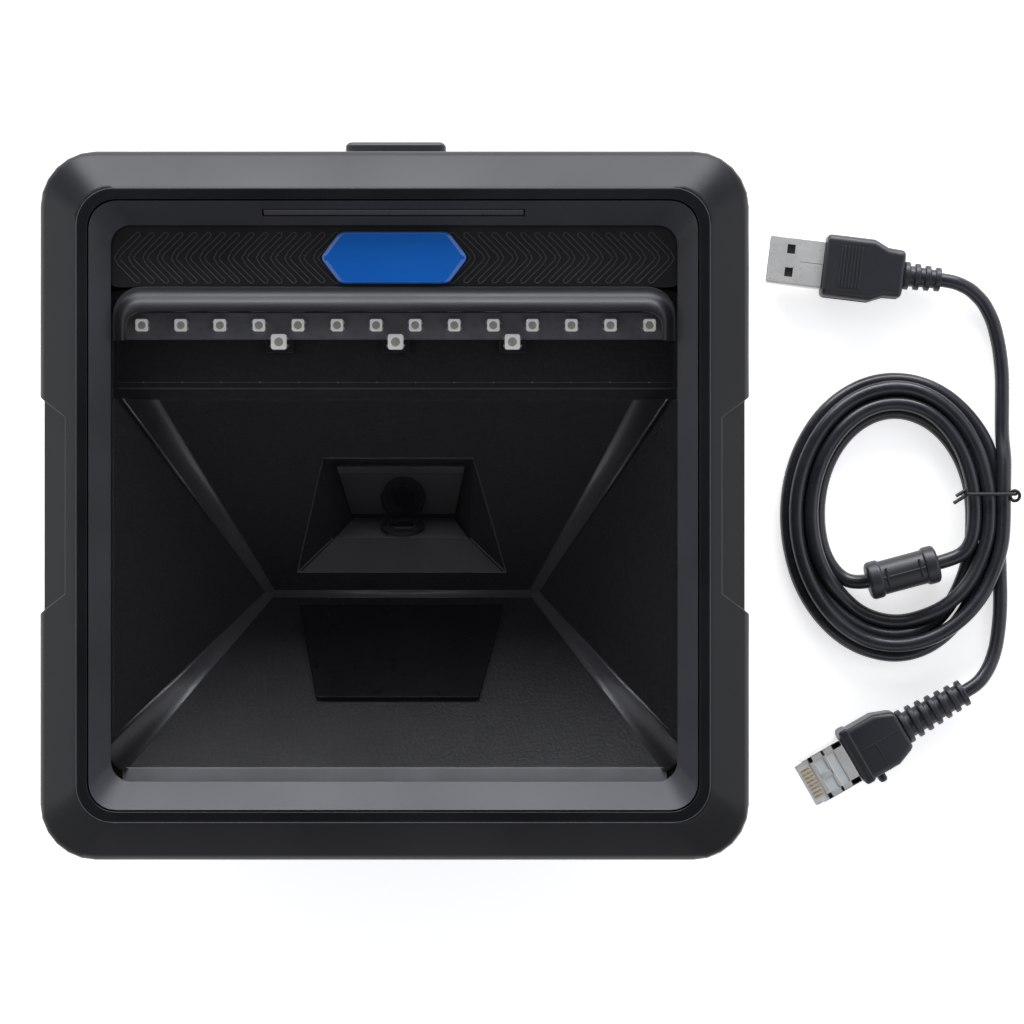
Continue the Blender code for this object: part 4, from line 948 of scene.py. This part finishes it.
def make_fillets():
    """Soft fillets where the cavity's walls meet, in the paler corner finish that paints their
    highlights.
    """
    bm = bmesh.new()
    for side in (1, -1):
        inward = Vector((-side, 0, 0))
        ledge, deep, rim = (on_side(side, corner)
                            for corner in (LEDGE_CORNER, DEEP_CORNER, RIM_CORNER))
        above = ledge + (ledge - deep).normalized() * FILLET_PAST_LEDGE
        widths = (FILLET_WIDE, FILLET_NARROW)
        add_fillet(bm, (above, deep), widths, inward, rim - deep)
        add_fillet(bm, (rim, deep), widths, inward, ledge - deep)
        if side > 0:
            add_fillet(bm, (deep, on_side(-1, DEEP_CORNER)), (FILLET_NARROW, FILLET_NARROW),
                       ledge - deep, rim - deep)
    trim_behind(bm, LEDGE_CORNER[1] * MM + 0.05 * MM)
    fillets = object_from("chamber_fillets", bm, "fillet_grey")
    for polygon in fillets.data.polygons:
        polygon.use_smooth = True


def make_port_highlights():
    """Pale wires along the edges of the camera's port and across the cavity's deep end: painted
    highlights on those edges.
    """
    low, high = PORT
    runs = []
    for side in (1, -1):
        runs += [[on_side(side, low), on_side(side, far)] for far in (high, SHELF_CORNER)]
    runs += [[on_side(-1, corner), on_side(1, corner)] for corner in (low, high, DEEP_CORNER)]
    wire("port_rims", runs, 0.16 * MM, "chamber_black", "fillet_grey")


def make_plate(name, near, far, looks, finish):
    """A thin satin plate, paler than the face under it, on a sloping face between two level edges
    given by their +X ends.
    """
    near, far = in_mm((near, far))
    way = Vector((0, *looks)).normalized()
    bm = bmesh.new()
    rings = []
    for lift in (0.02 * MM, 0.15 * MM):
        corners = ((-near.x, near), (near.x, near), (far.x, far), (-far.x, far))
        rings.append([Vector((0.96 * x, place.y, place.z)) + way * lift for x, place in corners])
    loft(bm, rings)
    plate = object_from(name, bm, finish)
    round_edges(plate, 0.04 * MM, 2)


def make_lens_plates():
    """Satin plates round the lens: on the wall it looks out of, a pale plate that paints light
    onto a wall lying in shade, seen directly and in the fold mirror; and a pale plate on the shelf
    in front.
    """
    make_plate("lens_wall_painted_light", SHELF_CORNER, VEE_CORNER, LENS_LOOKS, "sill_grey")
    make_plate("lens_shelf_plate", PORT[0], SHELF_CORNER, (0.0, 1.0), "shelf_grey")


def make_sill():
    """The pale strip under the lower edge of the glass, sloping up to the bezel."""
    low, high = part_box("optics_chamber")
    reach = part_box("window_bezel")[1].x - 6.5 * MM
    bm = bmesh.new()
    section = [(low.y + 0.9 * MM, 0.15), (low.y + 4.9 * MM, 0.15), (low.y + 4.9 * MM, 0.3),
               (low.y + 4.6 * MM, 0.42), (low.y + 0.9 * MM, 0.95)]
    rings = [[(x, y, high.z + z * MM) for y, z in section] for x in (-reach, reach)]
    loft(bm, rings)
    sill = object_from("window_sill", bm, "sill_grey")
    round_edges(sill, 0.1 * MM, 2)


make_rims()
make_ledge_reflection()
make_fillets()
make_port_highlights()
make_lens_plates()
make_sill()


# ---------------- plugs
class Plug:
    """A plug's own frame: X from its tip along the cord, Y across it and Z up."""

    def __init__(self, tip, angle, axis_z):
        self.matrix = (Matrix.Translation((tip[0], tip[1] + ORIGIN_Y, axis_z))
                       @ Matrix.Rotation(math.radians(angle), 4, "Z"))

    def boxes(self, name, corners, slot, rounding, segments=2, material=None):
        """One piece made of boxes, each given by six sides in millimetres."""
        bm = bmesh.new()
        for x0, x1, y0, y1, z0, z1 in corners:
            add_box(bm, (x0, y0, z0), (x1, y1, z1), MM)
        bm.transform(self.matrix)
        piece = object_from(name, bm, material or slot)
        return round_edges(piece, rounding, segments)

    def seams(self, name, lines, radius):
        """Raised mould lines along runs of points in millimetres."""
        runs = [[self.matrix @ point for point in in_mm(line)] for line in lines]
        return wire(name, runs, radius, "connector_black")


RJ = Plug((99.5 * MM, -69.75 * MM), 30.0, 5.0 * MM)
USB = Plug((90.8 * MM, 62.0 * MM), -7.0, 4.3 * MM)
CONTACT_PITCH = 1.02              # of the modular contacts, in mm
CONTACT_PLACES = [(i - 3.5) * CONTACT_PITCH for i in range(8)]


def make_modular_plug():
    """A clear body with gold blades at its nose, inside a stamped and pierced shield."""
    low, high = -1.7, 4.8
    body = RJ.boxes("rj45_body", [(0.0, 12.9, -5.55, 5.55, low + 0.15, high - 0.3)],
                    "plug_clear", 0.2 * MM)
    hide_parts("rj45_plug")
    top = high - 0.25
    shield = [
        (3.7, 13.0, 4.3, 5.85, top, high), (3.7, 13.0, -5.85, -4.3, top, high),
        (3.7, 4.9, -5.8, 5.8, top, high), (7.4, 8.2, -5.8, 5.8, top, high),
        (10.4, 13.0, -5.8, 5.8, top, high), (4.6, 7.8, -0.8, 0.8, top, high),
        (2.2, 13.0, 5.6, 5.85, low, high), (2.2, 13.0, -5.85, -5.6, low, high),
        (2.2, 13.0, 3.0, 5.85, low, low + 0.25), (2.2, 13.0, -5.85, -3.0, low, low + 0.25),
        (0.6, 3.8, 5.1, 5.6, top - 0.2, high - 0.1), (0.6, 3.8, -5.6, -5.1, top - 0.2, high - 0.1),
    ]
    metal_parts = RJ.boxes("rj45_shield", shield, "plug_metal", 0.1 * MM)
    blades = [(0.7, 3.3, y - 0.22, y + 0.22, high - 1.2, high - 0.12) for y in CONTACT_PLACES]
    contacts = RJ.boxes("rj45_contacts", blades, "plug_metal", 0.06 * MM, material="gold")
    wells = [(4.9, 10.4, -4.3, 4.3, high - 0.5, high - 0.32)]
    inside = RJ.boxes("rj45_inside", wells, "lens_black", 0.05 * MM)
    return [body, metal_parts, contacts, inside]


def make_boot_details():
    """The boot's stepped collar, its lever tab and the parting lines of its mould."""
    collar = RJ.boxes("rj45_boot_collar", [
        (13.5, 16.3, -7.5, 7.5, -4.95, 5.15), (16.9, 19.0, -9.2, -6.6, -2.2, 2.6)],
        "connector_black", 0.8 * MM, segments=3)
    line = [(16.4, 0.8, 5.02), (27.4, 0.6, 4.9)]
    cross = [(20.5, -7.0, 4.3), (20.5, -6.2, 5.0), (20.5, 0.7, 5.04)]
    return [collar, RJ.seams("rj45_boot_seams", [line, cross], 0.1 * MM)]


def make_usb_details():
    """The shell's two windows, the tongue with its contacts, and the grip ribs."""
    cutter = bmesh.new()
    for y in (2.9, -2.9):
        for low, high in ((1.2, 3.0), (-3.0, -1.2)):
            add_box(cutter, (4.2, y - 1.15, low), (6.2, y + 1.15, high), MM)
    add_box(cutter, (7.6, -0.06, 1.2), (14.0, 0.06, 3.0), MM)
    cutter.transform(USB.matrix)
    carve(skins["usb_shell"], cutter)
    tongue = USB.boxes("usb_tongue", [(0.9, 12.2, -5.4, 5.4, -0.1, 1.75)], "connector_black",
                       0.15 * MM)
    pads = [(1.6 + 0.6 * (i in (1, 2)), 9.0, y - 0.5, y + 0.5, -0.2, 0.0)
            for i, y in enumerate((-3.5, -1.0, 1.0, 3.5))]
    contacts = USB.boxes("usb_contacts", pads, "plug_metal", 0.04 * MM, material="gold")
    ribs = []
    for i in range(7):
        x = 17.4 + 0.85 * i
        ribs += [(x, x + 0.42, -5.2, 5.2, low, high) for low, high in ((4.0, 4.42), (-4.3, -4.0))]
    grip = USB.boxes("usb_grip_ribs", ribs, "connector_black", 0.15 * MM)
    outline = ((14.6, 7.86), (25.6, 7.86), (29.2, 6.28), (33.0, 6.08))
    lines = [[(x, side * y, 0.0) for x, y in outline] for side in (-1, 1)]
    lines.append([(26.3, -6.3, 4.0), (26.3, 6.3, 4.0)])
    return [tongue, contacts, grip, USB.seams("usb_seams", lines, 0.09 * MM)]


FERRITE_HALF = [                  # radius and place along the core in mm, for one half of it
    (2.3, -9.0), (3.9, -9.0), (4.5, -8.7), (4.8, -8.1), (4.8, -6.2), (4.65, -5.7), (4.3, -5.5),
]


def make_ferrite():
    """The moulded core: a barrel between two raised collars, with flats and clip marks."""
    centre = middle("ferrite")
    place = Matrix.Translation(centre) @ Matrix.Rotation(FERRITE_ANGLE, 4, "Z")
    lay = place @ Matrix.Rotation(math.pi / 2, 4, "Y")
    profile = FERRITE_HALF + [(radius, -height) for radius, height in reversed(FERRITE_HALF)]
    bm = bmesh.new()
    turned(bm, in_mm(profile), 48)
    bm.transform(lay)
    core = object_from("ferrite_core", bm, "connector_black")
    round_edges(stand_for(core, "ferrite"), 0.12 * MM, 2)
    bm = bmesh.new()
    for x in (-4.6, 4.0):
        add_box(bm, (x, -2.4, 3.2), (x + 0.6, 2.4, 4.5), MM)
    add_box(bm, (-5.6, -0.25, 3.8), (5.6, 0.25, 4.42), MM)
    bm.transform(place)
    marks = object_from("ferrite_marks", bm, "connector_black")
    round_edges(marks, 0.15 * MM, 2)
    return [core, marks]


TIE_TAILS = ((1.1 * MM, 2.6 * MM), (-0.3 * MM, 3.2 * MM))     # start along Y, and length


def make_tie_ends():
    """The wire tie's two cut ends on the near side, and the small loop on its far side."""
    low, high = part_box("twist_tie")
    y = (low.y + high.y) / 2
    z = high.z - 1.6 * MM
    shares = [step / 6 for step in range(7)]
    tails = [[(low.x + 0.7 * MM - length * share, y + start - 0.6 * length * share,
               z + 0.5 * MM * share ** 2) for share in shares] for start, length in TIE_TAILS]
    ends = wire("tie_ends", tails, 0.45 * MM, "cord_black", "tie_black")
    ring = []
    for step in range(16):
        x_way, y_way = (way(math.pi * step / 8) for way in (math.cos, math.sin))
        ring.append((high.x + (1.1 * x_way - 0.7) * MM, y + (1.3 * y_way - 0.4) * MM,
                     z + 0.5 * MM * x_way))
    eye = wire("tie_eye", [ring], 0.42 * MM, "cord_black", "tie_black", cyclic=True)
    return [ends, eye]


plug_pieces = make_modular_plug() + make_boot_details() + make_usb_details()
plug_pieces += make_ferrite() + make_tie_ends()


# ---------------- underside and jack
SCREW_PROFILE = [                 # radius and height of a base screw in mm, from its head up
    (2.3, 0.0), (2.7, 0.35), (2.7, 1.1), (1.4, 1.1), (1.4, 8.2), (0.7, 9.0),
]
CROSS = [                         # outline of the cross recess, in mm
    (0.35, 0.35), (0.35, 1.7), (-0.35, 1.7), (-0.35, 0.35), (-1.7, 0.35), (-1.7, -0.35),
    (-0.35, -0.35), (-0.35, -1.7), (0.35, -1.7), (0.35, -0.35), (1.7, -0.35), (1.7, 0.35),
]


def make_screws():
    """The base screws, each with a cross recess in its head."""
    for i in range(1, 5):
        place = underside(f"base_screw_{i}")
        bm = bmesh.new()
        turned(bm, in_mm(SCREW_PROFILE), 24)
        bm.transform(place)
        screw = object_from(f"base_screw_{i}_turned", bm, "steel")
        stand_for(screw, f"base_screw_{i}")
        cutter = bmesh.new()
        loft(cutter, [in_mm([(x, y, z) for x, y in CROSS]) for z in (-1.0, 0.9)])
        cutter.transform(place)
        round_edges(carve(screw, cutter), 0.12 * MM, 2)


JACK_WIRE = [(2.2, 8.6), (9.0, 6.2), (10.5, 8.9)]    # from the jack's face and floor, in mm


def make_jack_contacts():
    """The eight spring wires that hang down at a slant inside the modular jack."""
    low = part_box("rj45_jack")[0]
    places = [middle("rj45_jack").x + y * MM for y in CONTACT_PLACES]
    runs = [[(x, low.y + y * MM, low.z + z * MM) for y, z in JACK_WIRE] for x in places]
    wire("jack_contacts", runs, 0.18 * MM, "jack_shield", "gold")


HOUSING_SHOULDER = 56.7 * MM
HOUSING_CORNER = 11.0 * MM
HOUSING_SEAMS = (8.0 * MM, 9.0 * MM)
HOUSING_STEP = 0.25 * MM          # from the shoulder's half-width to the taper's
COVER_STEP = 2.3 * MM             # from the base cover's half-width to the taper's


def housing_half(z):
    """Half the tapered rear housing's width at a height."""
    low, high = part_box("rear_housing")
    top_half = (high.x - low.x) / 2 - HOUSING_STEP
    bottom_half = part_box("base_cover")[1].x + COVER_STEP
    return bottom_half + (top_half - bottom_half) * (z - low.z) / (HOUSING_SHOULDER - low.z)


def housing_ring(z):
    """A line round the rear housing at a height, on its skin."""
    half = housing_half(z)
    return rounded_ring(SCANNER_CENTRE.y, half, half, HOUSING_CORNER, z)


def make_housing_details():
    """Fine mould lines round the housing, and a raised frame round the jack's window."""
    rings = [housing_ring(z) for z in HOUSING_SEAMS]
    wire("housing_seams", rings, 0.22 * MM, "housing_black", cyclic=True)
    low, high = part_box("rj45_jack")
    half_x, low_z, high_z = high.x + 1.4 * MM, low.z - 0.6 * MM, high.z + 1.6 * MM
    corners = [(-half_x, low_z), (half_x, low_z), (half_x, high_z), (-half_x, high_z)]
    frame_line = [Vector((x, SCANNER_CENTRE.y - housing_half(z), z)) for x, z in corners]
    wire("jack_frame", [frame_line], 0.5 * MM, "housing_black", "rubber_black", cyclic=True)
    wire("housing_joint", [housing_ring(HOUSING_SHOULDER - 0.9 * MM)], 0.45 * MM,
         "housing_black", "rubber_black", cyclic=True)


make_screws()
make_jack_contacts()
make_housing_details()


# ---------------- chevrons on the trim panel
CHEVRONS_PER_SIDE = 15
CHEVRON_PITCH = 3.2 * MM
CHEVRON_OUTER = 63.0 * MM         # tip of the outermost one
CHEVRON_HALF = 0.55 * MM          # half the width of a loop
CHEVRON_SPINE = [                 # from the tip, towards the badge and along Y, in mm
    (5.2, 5.2), (1.2, 1.2), (0.5, 0.0), (1.2, -1.2), (5.2, -5.2),
]


def make_chevrons():
    """Rows of narrow loops, engraved in the real panel, that point outwards on both sides of the
    badge: drawn as thin raised outlines in the paler bezel black, painted highlights along the
    loops' edges.
    """
    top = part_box("trim_panel")[1].z
    middle_y = middle("badge").y
    outlines = []
    for side in (-1, 1):
        for i in range(CHEVRONS_PER_SIDE):
            tip = side * (CHEVRON_OUTER - i * CHEVRON_PITCH)
            spine = [Vector((tip - side * x * MM, middle_y + y * MM)) for x, y in CHEVRON_SPINE]
            outlines.append([(x, y, top) for x, y in loop_round(spine, CHEVRON_HALF)])
    wire("chevrons", outlines, 0.13 * MM, "panel_black", "bezel_black", cyclic=True)


def loop_round(line, half):
    """The outline, with round ends, of a bar of that half-width along a line."""
    left, right = [], []
    for i, point in enumerate(line):
        way = (line[min(i + 1, len(line) - 1)] - line[max(i - 1, 0)]).normalized()
        side = Vector((-way.y, way.x)) * half
        left.append(point + side)
        right.append(point - side)
    return (left + half_circle(line[-1], left[-1] - line[-1])
            + right[::-1] + half_circle(line[0], right[0] - line[0]))


def half_circle(centre, start, steps=5):
    """The points between the two ends of a half circle, clockwise."""
    return [centre + Matrix.Rotation(-math.pi * step / steps, 2) @ start
            for step in range(1, steps)]


make_chevrons()
